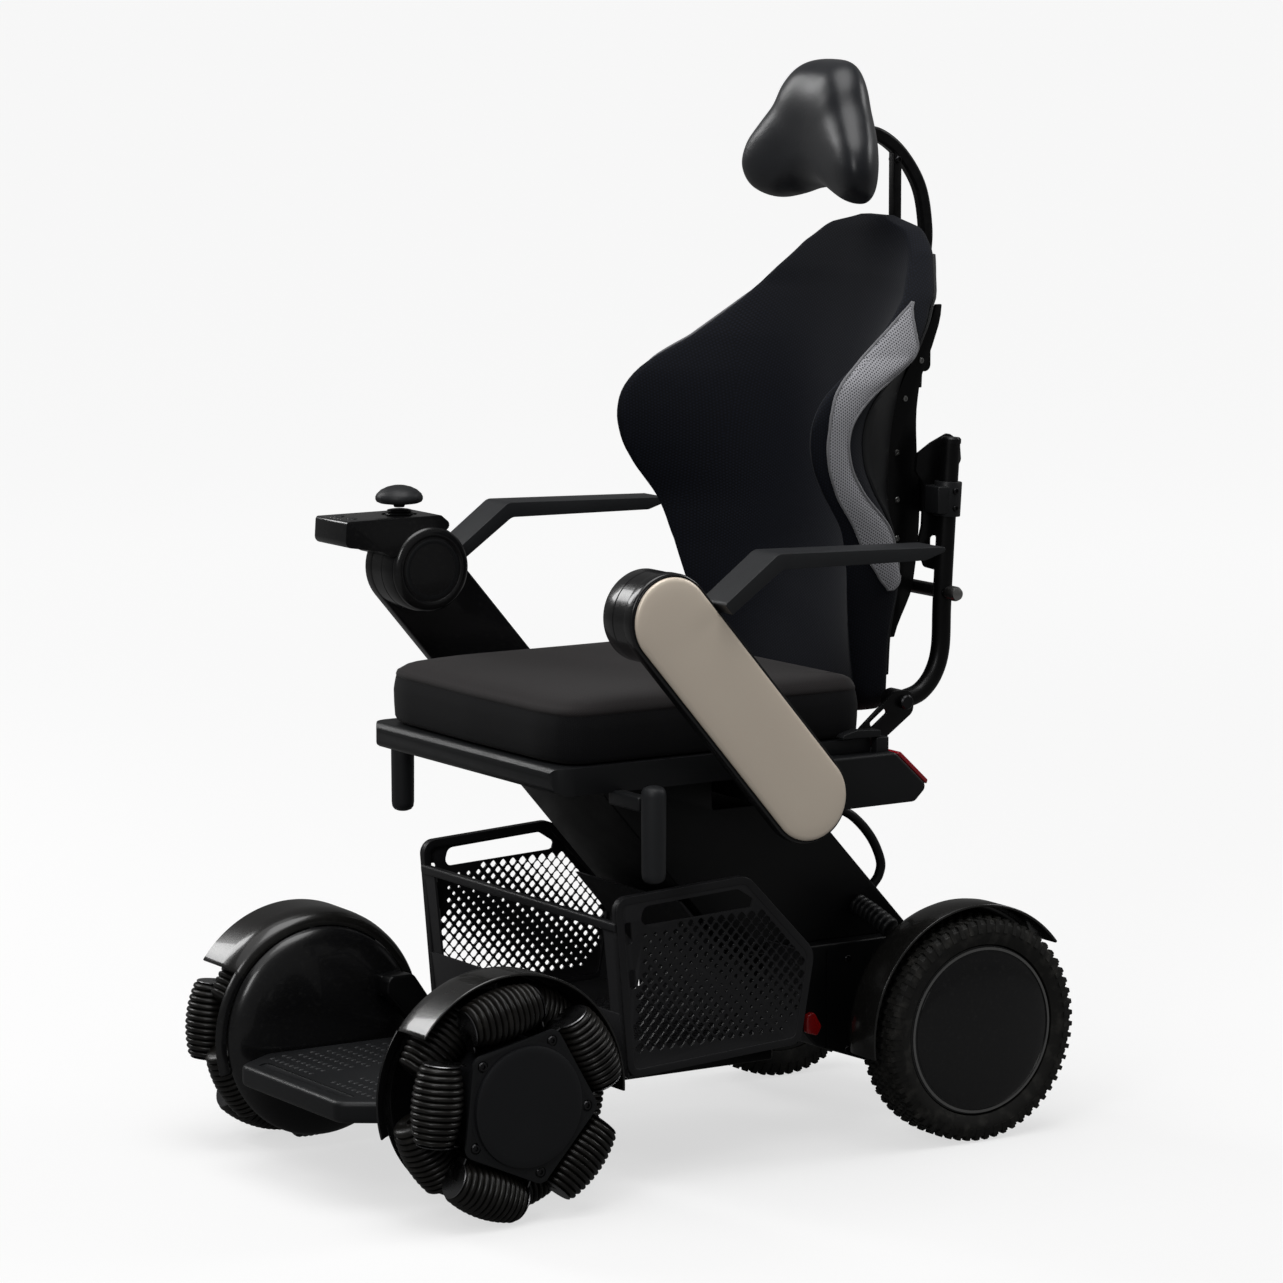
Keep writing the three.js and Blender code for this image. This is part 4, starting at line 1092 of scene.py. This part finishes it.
def build_seat_base():
    lamp_top, lamp_bottom = (208, 470), (254, 427)
    outline = [(74, 409), (236, 410), lamp_bottom, lamp_top, (74, 470)]
    body = plate(outline, [6, 10, 8, 8, 6], -228, 228, 4, 4)
    ear = [(187, 466), (206, 466), (264, 506), (264, 532), (238, 532), (188, 492)]
    ear = prism(filleted(ear, [2, 2, 12, 14, 14, 8]), 178, 183)
    slot = prism(filleted([(206, 492), (228, 508), (224, 514), (202, 498)], 3), 170, 190)
    ear = bevelled(cut(ear, slot), 0.8, 2)
    pin = revolve([(0, 155), (5, 155), (5, 186), (8.5, 186), (8.5, 190), (7, 191.5), (0, 191.5)],
                  (0, BACK_PIVOT.y, BACK_PIVOT.z), segments=24)
    post = bevelled(block(206, 218, 188, 205, 466, 487.4), 1.5)
    stand_in("seat_box", body + post, satin_black, "rear_housing")
    detail("back_ears", both_sides(ear), black_metal, "rear_housing")
    detail("back_pins", both_sides(pin), dark_steel, "rear_housing")
    along = Vector((lamp_bottom[0] - lamp_top[0], lamp_bottom[1] - lamp_top[1])).normalized()
    out = Vector((-along.y, along.x))
    corner = lambda p, forward, lift: tuple(Vector(p) + along * forward + out * lift)
    lens = [corner(lamp_top, 3, 0.5), corner(lamp_bottom, -2, 0.5), corner(lamp_bottom, -4, 5.4),
            corner(lamp_top, 6, 5.4)]
    stand_in("lamp", bevelled(prism(lens, -226, 226), 1.6, 3), lamp_red, "rear_lamp")
    paddle = plate([(139, 489), (157, 489), (192, 488), (194.4, 496), (161, 498), (143, 494)], 3, 205, 219, 1.8)
    stand_in("release_paddle", paddle, satin_black, "back_release_lever")
    profile = [(0, 362), (6, 362.4), (10, 364), (12.6, 367.5), (13.4, 373), (13.9, 460), (13.4, 465),
               (11.2, 468.6), (6.5, 470.6), (0, 471.2)]
    stand_in_pair("post", revolve(profile, (275, -151, 0), Z, 48), pad_grey, "side_post", smooth=50)
    harness = [(90, 206, 404.5), (90, 210, 391), (90, 244, 372), (90, 270, 345), (90, 284, 316), (90, 282, 299),
               (90, 273, 287.5)]
    stand_in("harness", tube(harness, 5.6, 18), cable_rubber, "seat_harness", smooth=60)


# ---------------------------------------------------------------- arms
ARM_TOP = (-139, 655)
ARM_RADIUS = 52.5


def build_arms():
    bottom = (ARM_PIVOT.y, ARM_PIVOT.z)
    case = bevelled(prism(stadium(ARM_TOP, bottom, ARM_RADIUS), 275, 292), 3.2, 4)
    stand_in_pair("arm_case", case, gloss_black, "arm_housing")
    drum = revolve([(0, 230), (46, 230), (50, 231.5), (51.6, 235), (51.6, 252.4), (50.6, 253), (50.6, 254),
                    (51.6, 254.6), (51.6, 276), (0, 276)], (0, *ARM_TOP), segments=96)
    detail_pair("arm_drum", drum, gloss_black, "arm_housing", smooth=40)
    face = stadium(ARM_TOP, bottom, 48.2, 40)
    rings = [(0, 292.6), (0, 294.2), (0.8, 295.8), (2.4, 297.0), (5.5, 297.7), (16, 298.4), (32, 298.9)]
    stand_in_pair("arm_face", lozenge(face, rings), champagne, "arm_panel", smooth=60)
    trim = cut(prism(stadium(ARM_TOP, bottom, 50.2, 40), 292.2, 293.6),
               prism(stadium(ARM_TOP, bottom, 48.6, 40), 280, 300))
    detail_pair("arm_trim", trim, deep_black, "arm_panel")
    outline = [(-84, 656), (-80, 672), (-11, 722), (230, 714), (187, 701), (-6, 704), (-76, 656)]
    pad = prism(filleted(outline, [4, 6, 14, 3, 6, 14, 4]), 262, 312)
    pad = cut(pad, prism(stadium(ARM_TOP, bottom, ARM_RADIUS + 1), 250, 330))
    pad = bevelled(pad, 4.5, 4, 40)
    stand_in_pair("arm_rest", pad, pad_grey, "arm_pad")


def lozenge(outline, rings):
    """A side outline repeated in rings, each (inset, x), and closed at both ends."""
    corners = []
    for inset_by, x in rings:
        corners += [(x, *p) for p in (inset(outline, inset_by) if inset_by else outline)]
    return capped(corners, len(outline))


def build_controller():
    top = 718
    side = [(-254, 688), (-252, top), (-125, top), (-108, 704), (-150, 688), (-190, 672), (-205, 680)]
    block_shape = prism(filleted(side, [8, 4, 4, 6, 6, 6, 8]), -300, -226)
    arm_space = rod(ARM_RADIUS + 1, -320, -229.6, (0, *ARM_TOP), segments=64)
    boot_well = rod(21, 702, 740, (STICK.x, STICK.y, 0), Z, 40)
    wells = []
    buttons = {}
    for node in ("power_button", "speed_button"):
        lo, hi = (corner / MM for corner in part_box(node))
        place = (lo + hi) / 2
        buttons[node] = place
        wells.append(rod(6.8, top - 6.5, 730, (place.x, place.y, 0), Z))
    shape = bevelled(cut(block_shape, arm_space), 3.0, 4, 40)
    shape = cut(shape, boot_well + total(wells))
    stand_in("pod", shape, gloss_black, "controller_pod", smooth=35)
    disc = [(0, -222.8), (34, -222.8), (38, -223.2), (39.4, -222.2), (41.4, -221.9), (43.2, -222.3),
            (46.5, -223.2), (49.4, -225.4), (50, -228), (50, -229.6), (0, -229.6)]
    detail("pod_disc", revolve(disc, (0, *ARM_TOP), segments=96), gloss_black, "controller_pod", smooth=40)
    dish = [(0, -222.9), (30, -222.9), (33.5, -222.2), (35.5, -222.9), (35.5, -223.4), (0, -223.4)]
    detail("pod_ring", revolve(dish, (0, *ARM_TOP), segments=96), satin_black, "controller_pod", smooth=40)
    for node, place in buttons.items():
        cap = [(0, top - 4.4), (5.8, top - 4.4), (5.8, top), (5.2, top + 0.9), (3.6, top + 1.3), (0, top + 1.1)]
        stand_in(f"{node}_cap", revolve(cap, (place.x, place.y, 0), Z, 32), pad_grey, node)
    lens = [(0, top - 0.4), (1.3, top - 0.4), (1.1, top + 0.35), (0, top + 0.5)]
    lens = revolve(lens, (-265, -244.5, 0), Z, 16)
    detail("pod_lights", total([lens.at(dx, 0, 0) for dx in (-12, -4, 4, 12)]), satin_steel, "controller_pod")
    bellows = [(0, 713.6), (14, 713.6)]
    for i in range(3):
        z = 714.6 + i * 3.2
        taper = i * 2.2
        bellows += [(18.4 - taper, z), (19.2 - taper, z + 1.1), (18.4 - taper, z + 2.2), (13.6 - i, z + 2.8)]
    bellows += [(9, 724.2), (0, 724.2)]
    stand_in("bellows", revolve(bellows, (STICK.x, STICK.y, 0), Z, 48), cable_rubber, "joystick_boot", smooth=45)
    knob = [(0, 726.4), (6, 726.4), (7, 729), (16, 730.4), (23, 731.4), (26.6, 733), (28, 735.6),
            (28, 738.6), (26.4, 742), (21.5, 746.6), (14.5, 750), (7, 751.9), (0, 752.4)]
    stand_in("knob", revolve(knob, (STICK.x, STICK.y, 0), Z, 64), pad_grey, "joystick_knob", smooth=50)


# ---------------------------------------------------------------- backrest
def blend_table(pairs):
    """Smooth interpolation through (position, value) pairs."""
    def value(position):
        if position <= pairs[0][0]:
            return pairs[0][1]
        if position >= pairs[-1][0]:
            return pairs[-1][1]
        i = next(k for k, pair in enumerate(pairs) if pair[0] > position) - 1
        at = lambda k: pairs[min(max(k, 0), len(pairs) - 1)][1]
        t = (position - pairs[i][0]) / (pairs[i + 1][0] - pairs[i][0])
        a, b, c, d = at(i - 1), at(i), at(i + 1), at(i + 2)
        return b + 0.5 * t * (c - a + t * (2 * a - 5 * b + 4 * c - d + t * (3 * (b - c) + d - a)))
    return value


BACK_LOW, BACK_HIGH = 505, 1066
back_half = blend_table([(505, 150), (600, 167), (700, 191), (770, 204), (850, 206), (890, 198), (917, 181),
                         (980, 152), (1030, 114), (1055, 80), (1066, 44)])
back_centre = blend_table([(505, 214), (600, 224), (700, 239), (800, 259), (900, 281), (1000, 307), (1066, 324)])
back_depth = blend_table([(505, 40), (560, 45), (950, 45), (1066, 26)])
back_side_depth = blend_table([(505, 42), (600, 62), (650, 80), (700, 77), (740, 71), (790, 66), (850, 70),
                               (890, 78), (914, 84), (937, 68), (968, 48), (1066, 26)])
back_wing = blend_table([(505, 4), (600, 41), (675, 71), (725, 97), (775, 143), (812, 167), (842, 174),
                         (866, 168), (888, 148), (917, 103), (950, 63), (980, 35), (1030, 10), (1066, 0)])


def back_point(u, z, depth, offset=0.0):
    """A point of the backrest: u runs across (-1..1), depth through the cushion (0 front, 1 rear)."""
    through = back_depth(z) + (back_side_depth(z) - back_depth(z)) * abs(u) ** 6
    y = back_centre(z) - back_wing(z) * abs(u) ** 2.6 + depth * through + offset
    return Vector((u * back_half(z), y, z))


def back_loop(z, edge=10, across_count=44, shrink=0.0):
    """One level of the cushion: its front, a rounded left edge, its rear and a rounded right edge."""
    flat = 1 - edge_round(z)
    points = [(flat * (-1 + 2 * i / across_count), 0.0) for i in range(across_count + 1)]
    points += [(flat + edge_round(z) * edge_swell(i / edge), edge_depth(i / edge)) for i in range(1, edge)]
    points += [(-u, 1.0) for u, _ in points[:across_count + 1]]
    points += [(-flat - edge_round(z) * edge_swell(i / edge), 1 - edge_depth(i / edge)) for i in range(1, edge)]
    return [back_point(u * (1 - shrink), z, 0.5 + (depth - 0.5) * (1 - shrink)) for u, depth in points]


def edge_round(z):
    """How much of the half width the rounded edge takes."""
    return 0.45 * min(22 / back_half(z), 0.3)


def edge_swell(w):
    return math.sin(math.pi * w) ** 0.6


def edge_depth(w):
    return 0.5 - 0.5 * math.cos(math.pi * w)


def back_cushion_shape(levels=84):
    rings = []
    for j in range(levels + 1):
        z = BACK_HIGH - (BACK_HIGH - BACK_LOW) * (1 - j / levels) ** 1.5
        foot = max(1 - (z - BACK_LOW) / 16, 0)
        brow = max((z - BACK_HIGH + 22) / 22, 0)
        rings.append(back_loop(z, shrink=0.10 * foot ** 2 + 0.42 * brow ** 3))
    return capped([point for ring in rings for point in ring], len(rings[0]))


def edge_wall(z, depth):
    """A point on the cushion's left edge, at a share of the way from its front (0) to its rear (1)."""
    depth = min(max(depth, 0.0), 1.0)
    w = math.acos(1 - 2 * depth) / math.pi
    return back_point(1 - edge_round(z) + edge_round(z) * edge_swell(w), z, depth)


def grey_band():
    """The pale mesh crescent on the wing's outer edge, pointed at its top, and its piping."""
    low, high, rows, columns = 650, 976, 90, 12
    front_edge = blend_table([(650, 0.74), (662, 0.62), (674, 0.54), (700, 0.40), (725, 0.34), (756, 0.36),
                              (790, 0.46), (839, 0.52), (862, 0.44), (880, 0.30), (896, 0.16), (914, 0.07),
                              (937, 0.08), (960, 0.18), (976, 0.34)])
    rear_edge = blend_table([(650, 0.84), (656, 0.95), (668, 1.0), (725, 0.96), (756, 0.90), (790, 0.89),
                             (839, 0.90), (870, 0.96), (890, 1.0), (914, 1.0), (930, 0.92), (950, 0.68),
                             (966, 0.48), (976, 0.38)])
    outer, inner = [], []
    for j in range(rows + 1):
        z = low + (high - low) * j / rows
        for i in range(columns + 1):
            share = i / columns
            base = edge_wall(z, front_edge(z) + (rear_edge(z) - front_edge(z)) * share)
            outward = (base - back_point(0.82, z, 0.5)).normalized()
            swell = 2.2 * math.sin(math.pi * min(max(share, 0.02), 0.98)) ** 0.5
            outer.append(base + outward * (1.2 + swell))
            inner.append(base - outward * 2)
    row = columns + 1
    loop_path = outer[::row] + outer[columns::row][::-1]
    return slab(outer, inner, rows, columns), sweep(loop_path + loop_path[:2], circle(1.7, 8))


def shell_shape(columns=32, rows=60):
    """The hard shell behind the cushion."""
    low, high, side = BACK_LOW + 40, BACK_HIGH - 40, 0.93
    sheets = [[back_point((-1 + 2 * i / columns) * side, low + (high - low) * j / rows, 1, offset)
               for j in range(rows + 1) for i in range(columns + 1)] for offset in (1.2, 5.6)]
    return slab(*sheets, rows, columns)


RIB_BOLTS = (640, 700, 745, 800, 862, 905)


def shell_rib_shape():
    """An upright rib on the back of the shell that carries the hinge plates."""
    heights = range(585, 981, 12)
    front = [(back_point(0.6, z, 1, 3).y, z) for z in heights]
    depth = blend_table([(585, 16), (640, 38), (745, 44), (800, 41), (862, 31), (905, 21), (950, 13), (980, 6)])
    rear = [(y + depth(z), z) for y, z in front]
    return bevelled(prism(front + rear[::-1], 120, 125), 1, 2, 50)


def build_backrest():
    cushion = stand_in("back_cushion", back_cushion_shape(), back_mesh, "backrest_cushion", smooth=70)
    band, piping = grey_band()
    for side, flip in SIDES.items():
        strip, cord = (band, piping) if flip > 0 else (band.mirrored(), piping.mirrored())
        detail(f"edge_band_{side}", strip, edge_mesh, "backrest_cushion", smooth=70)
        detail(f"edge_piping_{side}", cord, edge_piping, "backrest_cushion", smooth=80)
    stand_in("back_shell", bevelled(shell_shape(), 1.2, 2, 50), satin_black, "backrest_shell", smooth=40)
    detail("shell_ribs", both_sides(shell_rib_shape()), black_metal, "backrest_shell")
    bolts = [hex_screw((124.6, back_point(0.6, z, 1, 15).y, z), X, 3.6, 2.2) for z in RIB_BOLTS]
    detail("rib_bolts", both_sides(total(bolts)), satin_steel, "backrest_shell")


# ---------------------------------------------------------------- back frame
CANE_X = 165
CANE_AXIS = (0, 0.063, 1)


def build_back_frame():
    route = [(327, 815), (321, 720), (316, 630), (314, 575), (304, 545), (286, 526), (264, 519), (255, 519)]
    cane = tube([(CANE_X, y, z) for y, z in route], 11, 28)
    hinge = (0, BACK_PIVOT.y, BACK_PIVOT.z)
    hole = rod(5.4, 140, 190, hinge, segments=24)
    eye = revolve([(0, 155), (12, 155), (13, 156), (13, 175), (12, 176), (0, 176)], hinge, segments=40)
    cap = revolve([(0, 0), (11.6, 0), (11.6, 5), (9.8, 7), (0, 7)], (CANE_X, 327, 812), CANE_AXIS, 28)
    leg = cut(cane, hole) + cut(eye, hole) + cap
    spine = [(296, 700), (302, 700), (322, 800), (344, 900), (358, 960), (352, 960), (338, 900), (316, 800)]
    spine_plate = bevelled(prism(spine, -35, 35), 1, 2, 40)
    cross_plate = bevelled(block(-CANE_X, CANE_X, 319, 325, 728, 768), 1, 2)
    cross_block = bevelled(block(-45, 45, 307, 322, 732, 764), 2, 3)
    crossbar = (0, 317, 640)
    bar_ends = rod(8, -180, 180, crossbar)
    cheek = plate([(342, 880), (402, 880), (402, 930), (342, 930)], 8, 9.5, 20, 1.5)
    frame_shape = total([spine_plate, cross_plate, cross_block, bar_ends, both_sides(leg + cheek)])
    stand_in("canes", frame_shape, black_metal, "back_frame")
    cap = [(0, 178), (8, 178), (8.6, 180), (8.6, 191), (7, 195), (3.5, 196.4), (0, 196.6)]
    detail("bar_caps", both_sides(revolve(cap, crossbar, segments=32)), satin_steel, "back_frame", smooth=45)
    grip = (CANE_X, 322.5, 748)
    clamp = revolve([(11.2, -20), (15.5, -20), (16, -19), (16, 19), (15.5, 20), (11.2, 20)], grip, CANE_AXIS, 36,
                    loop=True)
    jaw = bevelled(block(CANE_X - 14, CANE_X + 14, 300, 322, 732, 764), 2)
    clamp += cut(jaw, rod(11.2, -30, 30, grip, CANE_AXIS, 36))
    detail("cane_clamps", both_sides(clamp), satin_black, "back_frame")
    lobes = [(302, 668), (322, 662), (338, 672), (342, 700), (336, 716), (346, 728), (350, 752), (344, 776),
             (352, 790), (350, 812), (334, 822), (310, 812), (290, 800), (288, 780), (300, 764), (298, 716),
             (292, 694)]
    slot = prism(filleted([(309, 684), (320, 684), (320, 704), (309, 704)], 4), 140, 160)
    lobed = cut(prism(filleted(lobes, 7), 146, 151), slot)
    detail("lobed_plates", both_sides(bevelled(lobed, 1, 2)), black_metal, "back_frame")
    detail("frame_bolts", both_sides(total(frame_bolts())), dark_steel, "back_frame")


def frame_bolts():
    for y, z in ((356, 892), (356, 918), (388, 892), (388, 918)):
        yield hex_screw((20, y, z), X, 4.4, 2.8)
    for x in (60, 110, 145):
        for z in (738, 758):
            yield hex_screw((x, 325, z), Y, 4.4, 2.8)
    for z in (738, 758):
        yield hex_screw((CANE_X + 15.6, 322.5, z), X, 3.8, 2.4)


# ---------------------------------------------------------------- headrest
HEAD_HALF = 121
HEAD_MIDDLE = Vector((0, 1157))
HEAD_SEAM, HEAD_FRONT, HEAD_REAR, HEAD_WRAP = 274, 44, 26, 36


def head_outline():
    """The pillow's edge seen from the front: a narrow top lobe and two wide lower lobes."""
    half = [(0, 1249), (38, 1245), (62, 1226), (78, 1198), (98, 1173), (115, 1148), (121, 1120),
            (110, 1096), (84, 1085), (56, 1089), (28, 1097), (0, 1100)]
    loop = half + [(-x, z) for x, z in half[-2:0:-1]]
    steps = 5
    path = smooth_path([*loop[-2:], *loop, *loop[:3]], steps)
    return path[2 * steps:(2 + len(loop)) * steps]


def head_shape(rings=14):
    """A soft lobed pillow, fuller at its front, that wraps forward at its sides."""
    edge = head_outline()
    corners = []
    for side, step in [(-1, step) for step in range(rings)] + [(1, step) for step in range(rings, 0, -1)]:
        share = math.sin(math.pi / 2 * step / rings)
        depth = (HEAD_FRONT if side < 0 else HEAD_REAR) * max(1 - share ** 4, 0) ** 0.5
        for point in edge:
            x, z = HEAD_MIDDLE.lerp(point, max(share, 0.02))
            corners.append((x, HEAD_SEAM - HEAD_WRAP * (x / HEAD_HALF) ** 2 + side * depth, z))
    return capped(corners, len(edge))


def build_headrest():
    pad = stand_in("head_pad", head_shape(), vinyl, "headrest_pad", smooth=80)
    soften = pad.modifiers.new("soften", "SUBSURF")
    soften.levels = 1
    soften.render_levels = 2
    route = [(392, 860), (396, 940), (404, 1010), (406, 1050), (396, 1098), (368, 1138), (335, 1160),
             (HEAD_PIVOT.y + 4, HEAD_PIVOT.z)]
    section = [(-8, -5), (-5, -8), (5, -8), (8, -5), (8, 5), (5, 8), (-5, 8), (-8, 5)]
    arc = sweep(smooth_path([(0, y, z) for y, z in route], 12), [(a, b * 0.8) for a, b in section])
    bar = bevelled(block(-6, 6, 357, 368, 1000, 1146), 1.5)
    foot = bevelled(block(-6, 6, 358, 404, 996, 1012), 1.5)
    ball = [(0, -9), (5, -7.6), (8, -4), (9, 0), (8, 4), (5, 7.6), (0, 9)]
    ball = revolve(ball, (0, HEAD_PIVOT.y + 6, HEAD_PIVOT.z), Y, 32)
    stand_in("head_stem", total([arc, bar, foot, ball]), black_metal, "headrest_stem")
    bolts = [hex_screw((6.2, 362.5, z), X, 4.2, 2.6) for z in (1020, 1052, 1130)]
    detail("stem_bolts", both_sides(total(bolts)), dark_steel, "headrest_stem")


# ---------------------------------------------------------------- stage
# Strengths are pairs: what lights the chair, and what the camera sees.
WORLD_LIGHT, BACKDROP = 0.11, 0.93
PAPER_TONE, PAPER_GLOW = (0.12, 0.36), (0.06, 1.0)
FLOOR_GLOW = (0.648, 0.79)
GLOW_REACH = (0.6, 6.0)


def stepped(tree, switch, low, high):
    """One value where the switch is 0 and another where it is 1."""
    return add_node(tree, "ShaderNodeMapRange", {"Value": switch, "To Min": low, "To Max": high}).outputs[0]


def floor_paper():
    """White paper to the camera, and a dim sheet to the light that the chair reflects."""
    paper = bpy.data.materials.new("floor paper")
    paper.use_nodes = True
    tree = paper.node_tree
    tree.nodes.clear()
    seen = add_node(tree, "ShaderNodeLightPath").outputs["Is Camera Ray"]
    tone = stepped(tree, seen, *PAPER_TONE)
    shade = add_node(tree, "ShaderNodeCombineColor", {0: tone, 1: tone, 2: tone}).outputs[0]
    diffuse = add_node(tree, "ShaderNodeBsdfDiffuse", {"Color": shade}).outputs[0]
    place = add_node(tree, "ShaderNodeTexCoord").outputs["Object"]
    length = add_node(tree, "ShaderNodeVectorMath", {0: place}, operation="LENGTH").outputs["Value"]
    spread_out = {"Value": length, "From Min": GLOW_REACH[0], "From Max": GLOW_REACH[1],
                  "To Min": FLOOR_GLOW[0], "To Max": FLOOR_GLOW[1]}
    far = add_node(tree, "ShaderNodeMapRange", spread_out, interpolation_type="SMOOTHSTEP").outputs[0]
    factors = {0: far, 1: stepped(tree, seen, *PAPER_GLOW)}
    strength = add_node(tree, "ShaderNodeMath", factors, operation="MULTIPLY").outputs[0]
    glow = add_node(tree, "ShaderNodeEmission", {"Color": (1, 1, 1, 1), "Strength": strength}).outputs[0]
    both = add_node(tree, "ShaderNodeAddShader", {0: diffuse, 1: glow}).outputs[0]
    add_node(tree, "ShaderNodeOutputMaterial", {"Surface": both})
    return paper


def build_stage():
    reach = 150
    corners = [(-reach, -reach, 0), (reach, -reach, 0), (reach, reach, 0), (-reach, reach, 0)]
    mesh = bpy.data.meshes.new("floor")
    mesh.from_pydata(corners, [], [(0, 1, 2, 3)])
    mesh.materials.append(floor_paper())
    floor = bpy.data.objects.new("floor", mesh)
    bpy.context.scene.collection.objects.link(floor)
    floor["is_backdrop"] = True
    world = bpy.data.worlds.new("studio")
    world.use_nodes = True
    bpy.context.scene.world = world
    tree = world.node_tree
    background = tree.nodes["Background"]
    background.inputs["Color"].default_value = (1, 1, 1, 1)
    seen = add_node(tree, "ShaderNodeLightPath").outputs["Is Camera Ray"]
    tree.links.new(stepped(tree, seen, WORLD_LIGHT, BACKDROP), background.inputs["Strength"])


def softbox(name, place, size, power, target=(0, 0, 0.6)):
    """A rectangular lamp that faces the middle of the chair and isn't seen itself."""
    data = bpy.data.lights.new(name, "AREA")
    data.shape = "RECTANGLE"
    data.size, data.size_y = size
    data.energy = power
    lamp = bpy.data.objects.new(name, data)
    lamp.location = place
    lamp.rotation_euler = (Vector(target) - Vector(place)).to_track_quat("-Z", "Y").to_euler()
    lamp.visible_camera = False
    bpy.context.scene.collection.objects.link(lamp)


def build_lights():
    softbox("top", (0.4, -0.2, 3.4), (2.0, 2.0), 34)
    softbox("front_left", (2.4, -3.0, 2.6), (1.0, 1.6), 30)
    softbox("front_right", (-3.2, -1.5, 2.6), (0.9, 1.8), 40)
    softbox("rear", (0.9, 3.4, 2.6), (1.6, 1.2), 26)
    data = bpy.data.lights.new("overhead", "SUN")
    data.energy = 0.9
    data.angle = math.radians(70)
    sun = bpy.data.objects.new("overhead", data)
    sun.rotation_euler = (math.radians(8), math.radians(6), 0)
    bpy.context.scene.collection.objects.link(sun)


def build_camera():
    data = bpy.data.cameras.new("camera")
    data.sensor_width = 36
    data.lens = 150.34
    data.clip_end = 400
    camera = bpy.data.objects.new("camera", data)
    camera.location = (5.1523, -3.2855, 1.4672)
    camera.rotation_euler = (math.radians(81.795), 0, math.radians(57.4047))
    bpy.context.scene.collection.objects.link(camera)
    bpy.context.scene.camera = camera


for build in (build_camera, build_front_wheels, build_front_end, build_rear_wheels, build_motor_cables,
              build_body, build_basket, build_seat, build_seat_base, build_arms, build_controller,
              build_backrest, build_back_frame, build_headrest, build_stage, build_lights):
    build()
bpy.context.scene.view_settings.view_transform = "Standard"

boxes = {"cad": cad_box, "visual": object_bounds()}
{name: [list(corner) for corner in box] for name, box in boxes.items()}
